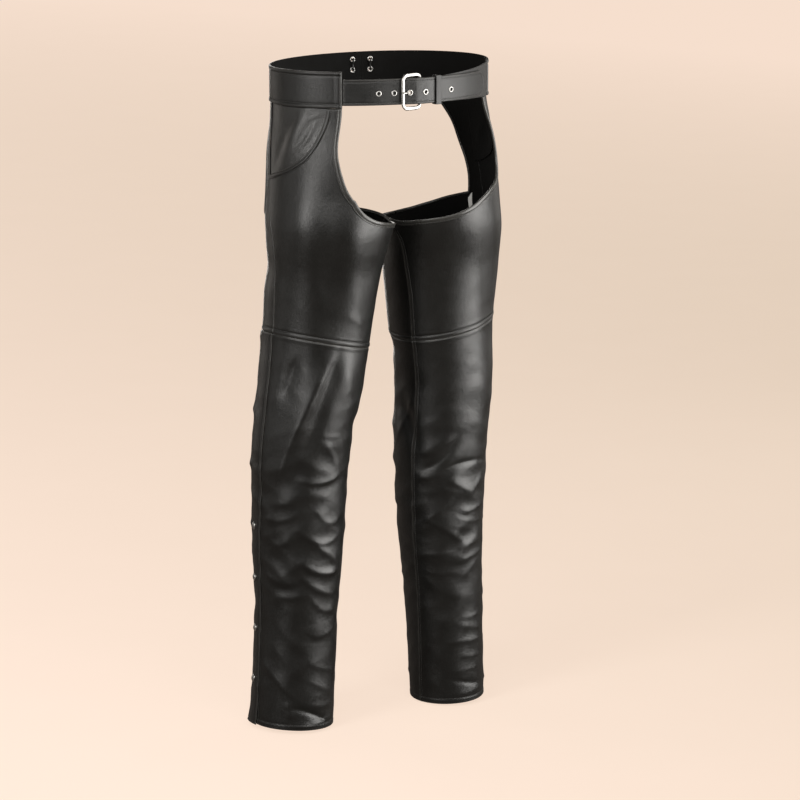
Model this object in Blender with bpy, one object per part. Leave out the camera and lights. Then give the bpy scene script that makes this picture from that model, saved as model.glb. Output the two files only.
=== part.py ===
"""Leather chaps: a buckled waistband over two open-seated legs, filled out as if worn.

Metres, +Z up, the wearer faces -Y. The origin is the centre of the waist ring, at the
waistband's mid-height. Right and left are the wearer's: right is -X, left is +X.

Every leather piece is laid out in two coordinates and wrapped on the same form:
  angle   degrees round the leg, 0 at the front, 90 outermost, 180 at the back
  height  metres, 0 at the middle of the waistband
"""
import math

import bpy
import numpy as np
from mathutils import Vector

RIGHT = -1
LEFT = 1

# thicknesses and clearances
LEATHER = 0.0016
BAND_WALL = 0.0030
GAP = 0.0003
HALF_GAP = GAP / 2

# heights
BAND_TOP = 0.028
BAND_LOW = -0.028
KNEE = -0.400
KNEE_TILT = 0.017
HEM = -1.0185
HEM_TILT = 0.0035
CROTCH = {RIGHT: -0.2135, LEFT: -0.2185}

# the form that the leather is wrapped on: one row for each section of a leg.
# Above the crotch the section grows into the half ring of the hip and the waist.
FORM_COLUMNS = ("height", "centre_out", "centre_back", "half_width", "half_depth")
FORM_RIGHT = (
    (-1.030, 0.1522, 0.028, 0.0632, 0.0640),
    (-0.850, 0.1447, 0.025, 0.0627, 0.0650),
    (-0.720, 0.1415, 0.022, 0.0700, 0.0700),
    (-0.600, 0.1395, 0.019, 0.0745, 0.0740),
    (-0.500, 0.1273, 0.014, 0.0803, 0.0800),
    (-0.400, 0.1150, 0.010, 0.0830, 0.0830),
    (-0.300, 0.1080, 0.002, 0.0885, 0.0900),
    (-0.220, 0.1030, -0.012, 0.0975, 0.1010),
    (-0.160, 0.0790, -0.006, 0.1150, 0.1100),
    (-0.100, 0.0360, -0.002, 0.1530, 0.1260),
    (-0.030, 0.0000, 0.000, 0.1840, 0.1300),
    (0.030, 0.0000, 0.000, 0.1840, 0.1300),
)
FORM_LEFT = (
    (-1.030, 0.1455, 0.028, 0.0565, 0.0620),
    (-0.850, 0.1355, 0.025, 0.0610, 0.0640),
    (-0.720, 0.1265, 0.022, 0.0675, 0.0690),
    (-0.600, 0.1245, 0.019, 0.0735, 0.0740),
    (-0.500, 0.1270, 0.014, 0.0760, 0.0790),
    (-0.400, 0.1180, 0.010, 0.0810, 0.0830),
    (-0.300, 0.1110, 0.002, 0.0890, 0.0900),
    (-0.220, 0.1005, -0.012, 0.0925, 0.1000),
    (-0.160, 0.0800, -0.007, 0.1110, 0.1110),
    (-0.100, 0.0395, -0.003, 0.1460, 0.1280),
    (-0.030, 0.0000, 0.000, 0.1765, 0.1300),
    (0.030, 0.0000, 0.000, 0.1765, 0.1300),
)

# the front panel's open edge: down from the waistband, then in to the crotch
SCOOP_COLUMNS = ("height", "right", "left")
SCOOP = (
    (-0.1680, 20.3, 31.0),
    (-0.1620, 23.5, 38.5),
    (-0.1500, 29.0, 48.0),
    (-0.1350, 34.5, 54.0),
    (-0.1200, 39.0, 56.5),
    (-0.1000, 43.0, 57.0),
    (-0.0750, 45.0, 55.0),
    (-0.0500, 45.5, 50.5),
    (-0.0280, 45.5, 47.5),
)
UNDER_SCOOP_COLUMNS = ("angle", "right", "left")
UNDER_SCOOP = (
    (-88.0, -0.2135, -0.2185),
    (-80.0, -0.2165, -0.2200),
    (-72.0, -0.2190, -0.2198),
    (-50.0, -0.2155, -0.2145),
    (-28.0, -0.2098, -0.2086),
    (-10.0, -0.2030, -0.2006),
    (4.0, -0.1925, -0.1913),
    (14.0, -0.1790, -0.1828),
    (20.3, -0.1680, -0.1777),
    (31.0, -0.1680, -0.1680),
)
# the back panel's open edge: down from the waistband to a corner, then in under the seat
SEAT_SIDE_COLUMNS = ("height", "right", "left")
SEAT_SIDE = (
    (-0.196, 124.0, 112.3),
    (-0.186, 123.0, 111.1),
    (-0.166, 121.8, 110.0),
    (-0.148, 121.6, 110.4),
    (-0.115, 122.2, 112.7),
    (-0.084, 123.4, 115.1),
    (-0.056, 126.2, 119.9),
    (-0.028, 131.0, 126.3),
)
UNDER_SEAT_COLUMNS = ("angle", "right", "left")
UNDER_SEAT = (
    (112.3, -0.1960, -0.1960),
    (124.0, -0.1960, -0.2010),
    (133.0, -0.2000, -0.2050),
    (156.0, -0.2052, -0.2165),
    (178.0, -0.2065, -0.2240),
    (200.0, -0.2066, -0.2265),
    (225.0, -0.2066, -0.2258),
    (245.0, -0.2085, -0.2235),
    (260.0, -0.2110, -0.2205),
    (272.0, -0.2135, -0.2185),
)
# the pocket mouth, from the waistband out to the side seam
MOUTH_COLUMNS = ("height", "right", "left")
MOUTH = (
    (-0.1385, 105.5, 97.0),
    (-0.1360, 100.0, 94.0),
    (-0.1335, 95.5, 91.0),
    (-0.1305, 90.0, 87.0),
    (-0.1270, 84.5, 83.0),
    (-0.1210, 77.5, 77.0),
    (-0.1120, 70.5, 70.5),
    (-0.1030, 65.5, 65.5),
    (-0.0840, 59.8, 59.8),
    (-0.0660, 56.8, 56.8),
    (-0.0470, 54.7, 54.7),
    (-0.0280, 53.5, 53.5),
)
# the seams that run down the leg
SEAM_COLUMNS = ("height", "right", "left", "inner")
SEAMS = (
    (-1.030, 90.0, 90.0, -83.0),
    (-0.850, 91.0, 91.0, -76.0),
    (-0.720, 88.0, 88.0, -73.0),
    (-0.600, 84.0, 84.0, -70.0),
    (-0.450, 84.0, 84.0, -67.0),
    (-0.350, 86.0, 86.0, -66.0),
    (-0.290, 88.5, 88.0, -70.0),
    (-0.255, 92.5, 90.0, -76.0),
    (-0.2225, 97.5, 92.5, -88.0),
    (-0.196, 101.0, 94.5, -88.0),
    (-0.166, 103.5, 96.0, -88.0),
    (-0.1385, 105.5, 97.0, -88.0),
    (-0.028, 106.0, 97.5, -88.0),
)

# the largest folds, a soft ridge (+) or trough (-) each: where its middle is, which way it
# runs (degrees above the level line, turning toward a larger angle), and its size
FOLD_COLUMNS = ("side", "angle", "height", "slope", "half_length", "half_width", "rise")
FOLDS = (
    (RIGHT, 60, -0.190, 90, 0.050, 0.020, 0.0025),
    (RIGHT, 31, -0.275, 83, 0.100, 0.019, -0.0040),
    (RIGHT, 2, -0.290, 80, 0.090, 0.017, 0.0030),
    (RIGHT, 120, -0.283, 0, 0.035, 0.026, -0.0045),
    (RIGHT, -57, -0.535, 0, 0.030, 0.018, -0.0045),
    (RIGHT, 33, -0.510, -73, 0.080, 0.015, 0.0055),
    (RIGHT, 19, -0.500, -78, 0.080, 0.013, -0.0050),
    (RIGHT, 57, -0.460, -80, 0.055, 0.016, -0.0040),
    (RIGHT, -10, -0.460, 76, 0.045, 0.015, 0.0030),
    (RIGHT, -8, -0.580, -46, 0.020, 0.012, 0.0045),
    (RIGHT, 2, -0.610, 13, 0.036, 0.011, -0.0055),
    (RIGHT, -8, -0.678, 57, 0.030, 0.012, 0.0040),
    (RIGHT, 10, -0.702, -16, 0.033, 0.011, -0.0045),
    (RIGHT, 0, -0.750, 25, 0.040, 0.012, 0.0050),
    (RIGHT, 2, -0.790, -16, 0.032, 0.011, -0.0040),
    (RIGHT, 175, -0.535, 8, 0.045, 0.013, -0.0050),
    (RIGHT, 190, -0.575, -12, 0.050, 0.013, -0.0055),
    (RIGHT, 168, -0.625, 18, 0.042, 0.013, -0.0045),
    (RIGHT, 196, -0.700, -20, 0.040, 0.012, -0.0040),
    (RIGHT, 230, -0.550, 24, 0.034, 0.012, -0.0040),
    (LEFT, 62, -0.300, -80, 0.120, 0.022, 0.0030),
    (LEFT, 20, -0.300, -84, 0.100, 0.020, -0.0030),
    (LEFT, 237, -0.435, 0, 0.035, 0.020, -0.0045),
    (LEFT, -37, -0.606, -30, 0.026, 0.011, -0.0045),
    (LEFT, 2, -0.637, -39, 0.040, 0.013, 0.0060),
    (LEFT, 37, -0.597, -21, 0.046, 0.012, -0.0055),
    (LEFT, -78, -0.550, -68, 0.036, 0.012, -0.0045),
    (LEFT, 90, -0.713, 18, 0.032, 0.012, -0.0040),
    (LEFT, -20, -0.722, -22, 0.030, 0.012, 0.0040),
    (LEFT, 15, -0.770, -36, 0.032, 0.012, -0.0040),
    (LEFT, 182, -0.530, -8, 0.046, 0.013, -0.0050),
    (LEFT, 168, -0.575, 14, 0.050, 0.013, -0.0055),
    (LEFT, 194, -0.630, -16, 0.042, 0.013, -0.0045),
    (LEFT, 172, -0.705, 22, 0.040, 0.012, -0.0040),
    (LEFT, 134, -0.560, -24, 0.034, 0.012, -0.0040),
)
FOLD_RADIUS = 0.075

# how finely the panels are laid out. The front and the back share their seams' heights
CALF_ROWS = 36
THIGH_ROWS = 8
MOUTH_END = -0.1385
STRIP_ROWS = (BAND_LOW - GAP, -0.045, -0.062, -0.080, -0.097, -0.108, -0.117, -0.124,
              -0.1295, -0.134, MOUTH_END, -0.154, -0.168)
FRONT_COLUMNS = 9
BACK_COLUMNS = 12
EDGE = 0.0065

# the waistband and the belt. Their angles are the right side's, past 0 to the left
BAND_RIGHT_END = 45.0
BAND_LEFT_END = -55.0
BACK_SLIT = 194.4
SLIT_WIDTH = 0.0008
BAND_STEP = 5.0
BAND_ROWS = 3
END_FOLD = 3.2
END_FOLD_RISE = 0.0012

STRAP_MIDDLE = -0.004
STRAP_HALF = 0.0200
STRAP_TIP = -43.7
STRAP_WALL = 0.0030
TIP_LENGTH = 6.0
# how far the strap's inner face stands off the ring: on the strap beneath, over the hinge
STRAP_RISE_COLUMNS = ("angle", "rise")
STRAP_RISE = (
    (-44.0, 0.0033),
    (-6.4, 0.0033),
    (-1.5, 0.0046),
    (1.5, 0.0054),
    (6.5, 0.0054),
    (9.8, 0.0036),
    (15.3, 0.0010),
    (21.0, 0.0),
    (45.0, 0.0),
)
EYELET_ANGLES = (26.0, 18.2, 10.4, 2.6, -5.2, -13.2)
EYELET_HEIGHT = -0.006
PRONG_EYELET = 2

HINGE_ANGLE = 4.0
HINGE_OUT = -0.0002
BAR_ANGLE = 14.0
FRAME_HALF_HEIGHT = 0.0255
FRAME_MIDDLE = -0.005
FRAME_CORNER = 0.0085
FRAME_BAR_HALF = 0.0027
FRAME_BAR_THICK = 0.0019
HINGE_BAR_HALF = 0.0019
PRONG_RADIUS = 0.0012
PRONG_CLEAR = 0.0004
PRONG_CURL = (-20, -65, -110, -155, 160, 115, 70)

# the strap beneath: a fold round the hinge bar, and its edges there and at the band
UNDER_STRAP_WALL = 0.0022
UNDER_STRAP_AT_HINGE = (0.0135, -0.0225)
UNDER_STRAP_AT_BAND = (0.0255, -0.0275)
FOLD_CLEAR = 0.0004
FOLD_PLY = 0.0016
FOLD_BACK = 0.0014
FOLD_ENDS = (-0.5, -2.6)
UNDER_STRAP_FROM = -1.0
SLOT_HALF = 0.0032
SLOT_REACH = 0.0056
SLOT_AHEAD = 0.0042

KEEPER_ANGLES = (-3.0, -4.6, -6.2)
KEEPER_WALL = 0.0016
KEEPER_CLEAR = 0.0005
KEEPER_OVER_EYELET = 0.0015

FACING_SUNK = 0.0009
FACING_UNDER = 0.0050

FLAP_COLUMNS = 2
FLAP_FLARE = 0.0055
FLARE_FROM = -0.955
SNAP_HEIGHTS = (-0.694, -0.778, -0.861, -0.943)
SNAP_RADIUS = 0.0062

BACK_EYELET_ARC = 0.0150
BACK_EYELET_HEIGHTS = (0.0160, -0.0005)
LACE_RADIUS = 0.0013

# turned metal, as (radius, height above the leather)
EYELET_PROFILE = (
    (0.0021, -0.0016),
    (0.0021, 0.0011),
    (0.0033, 0.0012),
    (0.0040, 0.0007),
    (0.0040, 0.0003),
    (0.0026, 0.0003),
    (0.0026, -0.0016),
)
EYELET_SIDES = 10
EYELET_HOLE = 0.0030
PUNCH = 0.008
SNAP_PROFILE = (
    (0.0, 0.0003),
    (SNAP_RADIUS, 0.0003),
    (SNAP_RADIUS, 0.0010),
    (SNAP_RADIUS * 0.86, 0.0020),
    (SNAP_RADIUS * 0.55, 0.0028),
    (0.0, 0.0031),
)
SNAP_SIDES = 12

LABEL_SIZE = (0.012, 0.019)
LABEL_WALL = 0.0005
LABEL_TAPER = 0.75
LABEL_BELOW = 0.001
LABEL_ANGLE = 114.5

COLOURS = {
    # name: colour, roughness, metallic
    "black leather": ((0.018, 0.018, 0.016, 1.0), 0.42, 0.0),
    "polished metal": ((0.78, 0.77, 0.75, 1.0), 0.18, 1.0),
    "white tape": ((0.72, 0.72, 0.70, 1.0), 0.80, 0.0),
}


# ---------------------------------------------------------------- tables and the form

def column(columns, rows, name):
    """One named column of a table, as an array."""
    return np.array([row[columns.index(name)] for row in rows], float)


def smooth(x, knots, values):
    """A curve through the knots that never overshoots them. The knots rise."""
    step = np.diff(knots)
    slope = np.diff(values) / step
    tangent = np.zeros(len(knots))
    tangent[0], tangent[-1] = slope[0], slope[-1]
    for k in range(1, len(knots) - 1):
        if slope[k - 1] * slope[k] > 0:
            before = 2 * step[k] + step[k - 1]
            after = step[k] + 2 * step[k - 1]
            tangent[k] = (before + after) / (before / slope[k - 1] + after / slope[k])
    x = min(max(x, knots[0]), knots[-1])
    k = min(max(int(np.searchsorted(knots, x)) - 1, 0), len(knots) - 2)
    t = (x - knots[k]) / step[k]
    return float((2 * t**3 - 3 * t**2 + 1) * values[k]
                 + (t**3 - 2 * t**2 + t) * step[k] * tangent[k]
                 + (3 * t**2 - 2 * t**3) * values[k + 1]
                 + (t**3 - t**2) * step[k] * tangent[k + 1])


def reader(columns, rows, key, name):
    """A function that reads one column of a table smoothly along another."""
    order = np.argsort(column(columns, rows, key))
    knots = column(columns, rows, key)[order]
    values = column(columns, rows, name)[order]
    return lambda x: smooth(x, knots, values)


SECTION = {
    side: [reader(FORM_COLUMNS, rows, "height", name) for name in FORM_COLUMNS[1:]]
    for side, rows in ((RIGHT, FORM_RIGHT), (LEFT, FORM_LEFT))
}
SCOOP_AT = {RIGHT: reader(SCOOP_COLUMNS, SCOOP, "height", "right"),
            LEFT: reader(SCOOP_COLUMNS, SCOOP, "height", "left")}
UNDER_SCOOP_AT = {RIGHT: reader(UNDER_SCOOP_COLUMNS, UNDER_SCOOP, "angle", "right"),
                  LEFT: reader(UNDER_SCOOP_COLUMNS, UNDER_SCOOP, "angle", "left")}
SEAT_SIDE_AT = {RIGHT: reader(SEAT_SIDE_COLUMNS, SEAT_SIDE, "height", "right"),
                LEFT: reader(SEAT_SIDE_COLUMNS, SEAT_SIDE, "height", "left")}
UNDER_SEAT_AT = {RIGHT: reader(UNDER_SEAT_COLUMNS, UNDER_SEAT, "angle", "right"),
                 LEFT: reader(UNDER_SEAT_COLUMNS, UNDER_SEAT, "angle", "left")}
MOUTH_AT = {RIGHT: reader(MOUTH_COLUMNS, MOUTH, "height", "right"),
            LEFT: reader(MOUTH_COLUMNS, MOUTH, "height", "left")}
STRAP_RISE_AT = reader(STRAP_RISE_COLUMNS, STRAP_RISE, "angle", "rise")
OUTER_SEAM = {RIGHT: reader(SEAM_COLUMNS, SEAMS, "height", "right"),
              LEFT: reader(SEAM_COLUMNS, SEAMS, "height", "left")}
INNER_SEAM = reader(SEAM_COLUMNS, SEAMS, "height", "inner")


def knee_height(angle):
    return KNEE + KNEE_TILT * math.sin(math.radians(angle))


def hem_height(angle):
    return HEM + HEM_TILT * math.sin(math.radians(angle))


def fold_rise(side, angle, height):
    """How far the folds lift or sink the leather at a place."""
    total = 0.0
    for leg, middle, level, slope, half_length, half_width, rise in FOLDS:
        if leg != side:
            continue
        around = (angle - middle + 180.0) % 360.0 - 180.0
        s = math.radians(around) * FOLD_RADIUS
        t = height - level
        turn = math.radians(slope)
        along = s * math.cos(turn) + t * math.sin(turn)
        across = t * math.cos(turn) - s * math.sin(turn)
        total += rise * math.exp(-(along / half_length)**2 - (across / half_width)**2)
    return total


def on_form(side, angle, height, out):
    """The point of the form at a place, moved outward."""
    centre_out, centre_back, half_width, half_depth = [read(height) for read in SECTION[side]]
    lift = out + fold_rise(side, angle, height)
    turn = math.radians(angle)
    return Vector((side * (centre_out + (half_width + lift) * math.sin(turn)),
                   centre_back - (half_depth + lift) * math.cos(turn),
                   height))


def degrees_of(side, height, length):
    """The angle that a length covers round the form, about."""
    half_width, half_depth = SECTION[side][2](height), SECTION[side][3](height)
    return math.degrees(length / math.sqrt(half_width * half_depth))


def outward(side, angle, height):
    """The form's outward direction at a place."""
    here = on_form(side, angle, height, 0.0)
    around = on_form(side, angle + 1.0, height, 0.0) - here
    upward = on_form(side, angle, height + 0.002, 0.0) - here
    normal = around.cross(upward).normalized()
    return normal if normal.dot(on_form(side, angle, height, 0.01) - here) > 0 else -normal


# ---------------------------------------------------------------- meshes

def material(name):
    found = bpy.data.materials.get(name)
    if found:
        return found
    colour, roughness, metallic = COLOURS[name]
    made = bpy.data.materials.new(name)
    made.use_nodes = True
    shader = made.node_tree.nodes["Principled BSDF"]
    shader.inputs["Base Color"].default_value = colour
    shader.inputs["Roughness"].default_value = roughness
    shader.inputs["Metallic"].default_value = metallic
    return made


def add_object(name, mesh, finish):
    mesh.materials.append(material(finish))
    made = bpy.data.objects.new(name, mesh)
    bpy.context.scene.collection.objects.link(made)
    return made


def solid(name, points, faces, finish="black leather"):
    """An object from closed faces, turned so that they point out."""
    volume = 0.0
    for face in faces:
        for k in range(1, len(face) - 1):
            a, b, c = points[face[0]], points[face[k]], points[face[k + 1]]
            volume += a.dot(b.cross(c))
    if volume < 0:
        faces = [tuple(reversed(face)) for face in faces]
    mesh = bpy.data.meshes.new(name)
    mesh.from_pydata([tuple(p) for p in points], [], faces)
    mesh.validate()
    mesh.shade_smooth()
    mesh.set_sharp_from_angle(angle=math.radians(40.0))
    return add_object(name, mesh, finish)


def wall(name, cells, place, inner, outer, finish="black leather"):
    """A closed wall over cells, which are quads of (angle, height) corners.

    inner and outer are how far the two faces stand off the form, as numbers or as
    functions of angle and height. Shared corners are joined, and open edges are closed.
    """
    index = {}
    points = []
    for level in (inner, outer):
        for cell in cells:
            for corner in cell:
                key = (round(corner[0], 5), round(corner[1], 7), level is outer)
                if key not in index:
                    out = level(*corner) if callable(level) else level
                    index[key] = len(points)
                    points.append(place(corner[0], corner[1], out))
    faces = []
    edges = {}
    for cell in cells:
        keys = [(round(a, 5), round(h, 7)) for a, h in cell]
        top = [index[key + (True,)] for key in keys]
        low = [index[key + (False,)] for key in keys]
        for a, b, c in ((0, 1, 2), (0, 2, 3)):
            if len({keys[a], keys[b], keys[c]}) == 3:
                faces.append((top[a], top[b], top[c]))
                faces.append((low[c], low[b], low[a]))
        for k in range(4):
            a, b = k, (k + 1) % 4
            if keys[a] == keys[b]:
                continue
            if (keys[b], keys[a]) in edges:
                del edges[(keys[b], keys[a])]
            else:
                edges[(keys[a], keys[b])] = (top[a], top[b], low[a], low[b])
    for top_a, top_b, low_a, low_b in edges.values():
        faces.append((top_b, top_a, low_a))
        faces.append((top_b, low_a, low_b))
    return solid(name, points, faces, finish)


def lattice(count_across, count_down, corner):
    """The quads between the corners of a lattice."""
    return [(corner(i, j), corner(i + 1, j), corner(i + 1, j + 1), corner(i, j + 1))
            for j in range(count_down) for i in range(count_across)]


def turned(name, profile, sides, place, finish="polished metal"):
    """A profile of (radius, height) turned round an axis. place puts (x, y, height)."""
    points = []
    rings = []
    for radius, height in profile:
        if radius == 0.0:
            rings.append([len(points)] * sides)
            points.append(place(0.0, 0.0, height))
            continue
        rings.append(list(range(len(points), len(points) + sides)))
        for k in range(sides):
            turn = 2 * math.pi * k / sides
            points.append(place(radius * math.cos(turn), radius * math.sin(turn), height))
    closed = profile[0][0] != 0.0
    faces = []
    for k in range(len(profile) if closed else len(profile) - 1):
        here, there = rings[k], rings[(k + 1) % len(profile)]
        for s in range(sides):
            loop = (here[s], here[(s + 1) % sides], there[(s + 1) % sides], there[s])
            loop = tuple(dict.fromkeys(loop))
            faces.append(loop)
    return solid(name, points, faces, finish)


def swept(name, path, section, finish="polished metal", closed=False):
    """A section carried along a path. section(k) gives its points as offsets."""
    points = []
    for k, centre in enumerate(path):
        points.extend(centre + offset for offset in section(k))
    size = len(points) // len(path)
    faces = []
    for k in range(len(path) if closed else len(path) - 1):
        here, there = k * size, ((k + 1) % len(path)) * size
        for s in range(size):
            faces.append((here + s, here + (s + 1) % size,
                          there + (s + 1) % size, there + s))
    if not closed:
        faces.append(tuple(reversed(range(size))))
        faces.append(tuple(range((len(path) - 1) * size, len(path) * size)))
    return solid(name, points, faces, finish)


def drill(target, cutters):
    """Holes right through a piece."""
    for cutter in cutters:
        cutter.hide_render = True
        cutter.display_type = "WIRE"
        hole = target.modifiers.new(cutter.name, "BOOLEAN")
        hole.operation = "DIFFERENCE"
        hole.solver = "EXACT"
        hole.object = cutter


def frame_at(side, angle, height, out):
    """A function that puts local (x, y, height) on the leather at a place."""
    centre = on_form(side, angle, height, out)
    up = outward(side, angle, height)
    across = Vector((0, 0, 1)).cross(up).normalized()
    along = up.cross(across)
    return lambda x, y, h: centre + across * x + along * y + up * h


# ---------------------------------------------------------------- leg panels

def panel_cells(side, seam_rows, free_rows, near_edge, free_edge, fractions, free_height,
                seam, far_seam, columns):
    """The cells of a thigh panel: a strip up to the waistband over a full-width part.

    The strip's rows run from near_edge, at seam_rows, to free_edge, at free_rows. Below the
    last of them the panel spreads from seam to far_seam, under the free edge whose height
    at an angle is free_height. Returns all the cells and those along the free edge.
    """
    rows = []
    for near_height, free_height_here in zip(seam_rows, free_rows):
        near, free = near_edge(near_height), free_edge(free_height_here)
        edge = min(degrees_of(side, near_height, EDGE) / abs(free - near), 0.45)
        shares = [f * (1 - edge) for f in fractions] + [1.0]
        rows.append([(near + (free - near) * f,
                      near_height + (free_height_here - near_height) * f) for f in shares])
    strip = len(rows[0]) - 1
    upper = lattice(strip, len(rows) - 1, lambda i, j: rows[j][i])
    bound = upper[strip - 1::strip]

    starts = [angle for angle, _ in rows[-1]]
    tops = [height for _, height in rows[-1]]
    turn_angle, last_angle = starts[-1], far_seam(CROTCH[side])
    for k in range(1, columns - strip + 1):
        starts.append(turn_angle + (last_angle - turn_angle) * k / (columns - strip))
        tops.append(free_height(starts[-1]) if k < columns - strip else CROTCH[side])

    def at(height, share):
        return seam(height) + (far_seam(height) - seam(height)) * share

    def bottom(share):
        height = KNEE
        for _ in range(6):
            height = knee_height(at(height, share)) + HALF_GAP
        return height

    lows = [bottom(i / columns) for i in range(columns + 1)]
    shares = [(start - seam(top)) / (far_seam(top) - seam(top))
              for start, top in zip(starts, tops)]

    def corner(i, j):
        if j == 0:
            return (starts[i], tops[i])
        down = (j - 1) / THIGH_ROWS
        height = tops[i] - EDGE + (lows[i] - tops[i] + EDGE) * down
        return (at(height, shares[i] + (i / columns - shares[i]) * down), height)

    lower = lattice(columns, THIGH_ROWS + 1, corner)
    bound += lower[strip - 1:columns]
    return upper + lower, bound


def thigh_front(side):
    inset = degrees_of(side, -0.2, HALF_GAP)

    outer = OUTER_SEAM[side]

    def near(height):
        return MOUTH_AT[side](height) if height > MOUTH_END else outer(height) - inset

    return panel_cells(side, STRIP_ROWS, STRIP_ROWS, near, SCOOP_AT[side],
                       (0.0, 0.13, 0.30, 0.52, 0.76, 1.0), UNDER_SCOOP_AT[side],
                       lambda h: outer(h) - inset, lambda h: INNER_SEAM(h) + inset,
                       FRONT_COLUMNS + 4)


def thigh_back(side):
    inset = degrees_of(side, -0.2, HALF_GAP)
    top, turn = STRIP_ROWS[0], STRIP_ROWS[-1]
    stretch = (SEAT_SIDE[0][0] - top) / (turn - top)
    free_rows = [top + (height - top) * stretch for height in STRIP_ROWS]
    outer = OUTER_SEAM[side]
    return panel_cells(side, STRIP_ROWS, free_rows, lambda h: outer(h) + inset,
                       SEAT_SIDE_AT[side], (0.0, 0.5, 1.0), UNDER_SEAT_AT[side],
                       lambda h: outer(h) + inset, lambda h: 360 + INNER_SEAM(h) - inset,
                       BACK_COLUMNS)


def calf_cells(side, seam, far_seam, columns):
    """The cells of a lower leg panel, between the knee seam and the hem."""
    def at(height, share):
        return seam(height) + (far_seam(height) - seam(height)) * share

    def top(share):
        height = KNEE
        for _ in range(6):
            height = knee_height(at(height, share)) - HALF_GAP
        return height

    tops = [top(i / columns) for i in range(columns + 1)]

    def corner(i, j):
        down = j / CALF_ROWS
        low = hem_height(at(HEM, i / columns))
        height = tops[i] + (low - tops[i]) * down
        return (at(height, i / columns), height)

    return lattice(columns, CALF_ROWS, corner)


def flap_out(base):
    """The flap hugs the leg, and kicks outward below its last snap."""
    def out(angle, height):
        down = min(max((FLARE_FROM - height) / (FLARE_FROM - HEM), 0.0), 1.0)
        back = min(max((angle - 88.0) / 34.0, 0.0), 1.0)
        return base + FLAP_FLARE * down * down * (0.35 + 0.65 * back)
    return out


def make_leg(side, tag):
    def place(angle, height, out):
        return on_form(side, angle, height, out)

    skin = (0.0, LEATHER)
    over = (LEATHER + GAP, 2 * LEATHER + GAP - 0.0006)

    front, front_edge = thigh_front(side)
    wall(f"thigh_front_{tag}", front, place, *skin)
    wall(f"front_binding_{tag}", front_edge, place, *over)
    back, back_edge = thigh_back(side)
    wall(f"thigh_back_{tag}", back, place, *skin)
    wall(f"seat_binding_{tag}", back_edge, place, *over)

    outer = OUTER_SEAM[side]
    inset = degrees_of(side, KNEE, HALF_GAP)
    calf_front = calf_cells(side, lambda h: outer(h) - inset,
                            lambda h: INNER_SEAM(h) + inset, FRONT_COLUMNS)
    wall(f"calf_front_{tag}", calf_front, place, *skin)
    calf_back = calf_cells(side, lambda h: outer(h) + inset,
                           lambda h: 360 + INNER_SEAM(h) - inset, BACK_COLUMNS)
    wall(f"calf_back_{tag}", calf_back, place, *skin)

    flap = [cell for k, cell in enumerate(calf_back) if k % BACK_COLUMNS < FLAP_COLUMNS]
    wall(f"side_flap_{tag}", flap, place, flap_out(over[0]), flap_out(over[0] + LEATHER))
    for number, height in enumerate(SNAP_HEIGHTS, 1):
        snap(side, tag, number, flap, height, over[0] + LEATHER)

    pocket_facing(side, tag)
    return back


def nearest_line(cells, height):
    """The angle of the flap's middle line of corners at a height."""
    middle = sorted({cell[1] for cell in cells[::FLAP_COLUMNS]}, key=lambda c: c[1])
    heights = [corner[1] for corner in middle]
    return float(np.interp(height, heights, [corner[0] for corner in middle]))


def snap(side, tag, number, flap, height, base):
    angle = nearest_line(flap, height)
    place = frame_at(side, angle, height, base)
    turned(f"flap_snap_{tag}_{number}", SNAP_PROFILE, SNAP_SIDES, place)


def pocket_facing(side, tag):
    """The piece behind the pocket mouth, which runs a little way under the panels."""
    heights = STRIP_ROWS[:11] + (MOUTH_END - FACING_UNDER,)
    across = 8

    def corner(i, j):
        height = heights[j]
        under = degrees_of(side, height, FACING_UNDER)
        low = MOUTH_AT[side](height + FACING_UNDER) - under
        high = OUTER_SEAM[side](height) + under
        return (low + (high - low) * i / across, height)

    wall(f"pocket_facing_{tag}", lattice(across, len(heights) - 1, corner),
         lambda a, h, out: on_form(side, a, h, out), -FACING_SUNK - LEATHER, -FACING_SUNK)


def care_label(back_cells):
    """A blank tape tab that hangs inside the left back panel, from the seat's edge."""
    cell = min((c for c in back_cells if c[0][1] < SEAT_SIDE[0][0]),
               key=lambda c: abs(c[0][0] - LABEL_ANGLE) + 900 * abs(c[0][1] - SEAT_SIDE[0][0]))
    corners = [on_form(LEFT, angle, height, -GAP) for angle, height in cell]
    across = (corners[1] - corners[0]).normalized()
    down = ((corners[3] + corners[2]) / 2 - (corners[0] + corners[1]) / 2).normalized()
    inward = across.cross(down).normalized()
    if inward.dot(on_form(LEFT, *cell[0], -0.01) - corners[0]) < 0:
        inward = -inward
    top = (corners[0] + corners[1]) / 2 + down * LABEL_BELOW
    half = across * LABEL_SIZE[0] / 2
    low = top + down * LABEL_SIZE[1]
    front = [top - half, top + half, low + half * LABEL_TAPER, low - half * LABEL_TAPER]
    points = front + [p + inward * LABEL_WALL for p in front]
    faces = [(0, 1, 2, 3), (7, 6, 5, 4), (1, 0, 4, 5), (2, 1, 5, 6), (3, 2, 6, 7), (0, 3, 7, 4)]
    solid("care_label", points, faces, "white tape")


# ---------------------------------------------------------------- waistband and belt

def ring(angle, height, out):
    """A place on the waist ring, which both halves of the band and the belt share."""
    turn = math.radians(angle)
    side = RIGHT if math.sin(turn) > 0 else LEFT
    half_width, half_depth = SECTION[side][2](0.0), SECTION[side][3](0.0)
    return Vector((-(half_width + out) * math.sin(turn),
                   -(half_depth + out) * math.cos(turn), height))


def ring_degrees(angle, length):
    """The angle that a length covers on the ring at an angle."""
    return math.degrees(length / (ring(angle + 0.5, 0, 0) - ring(angle - 0.5, 0, 0)).length
                        * math.radians(1.0))


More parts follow.
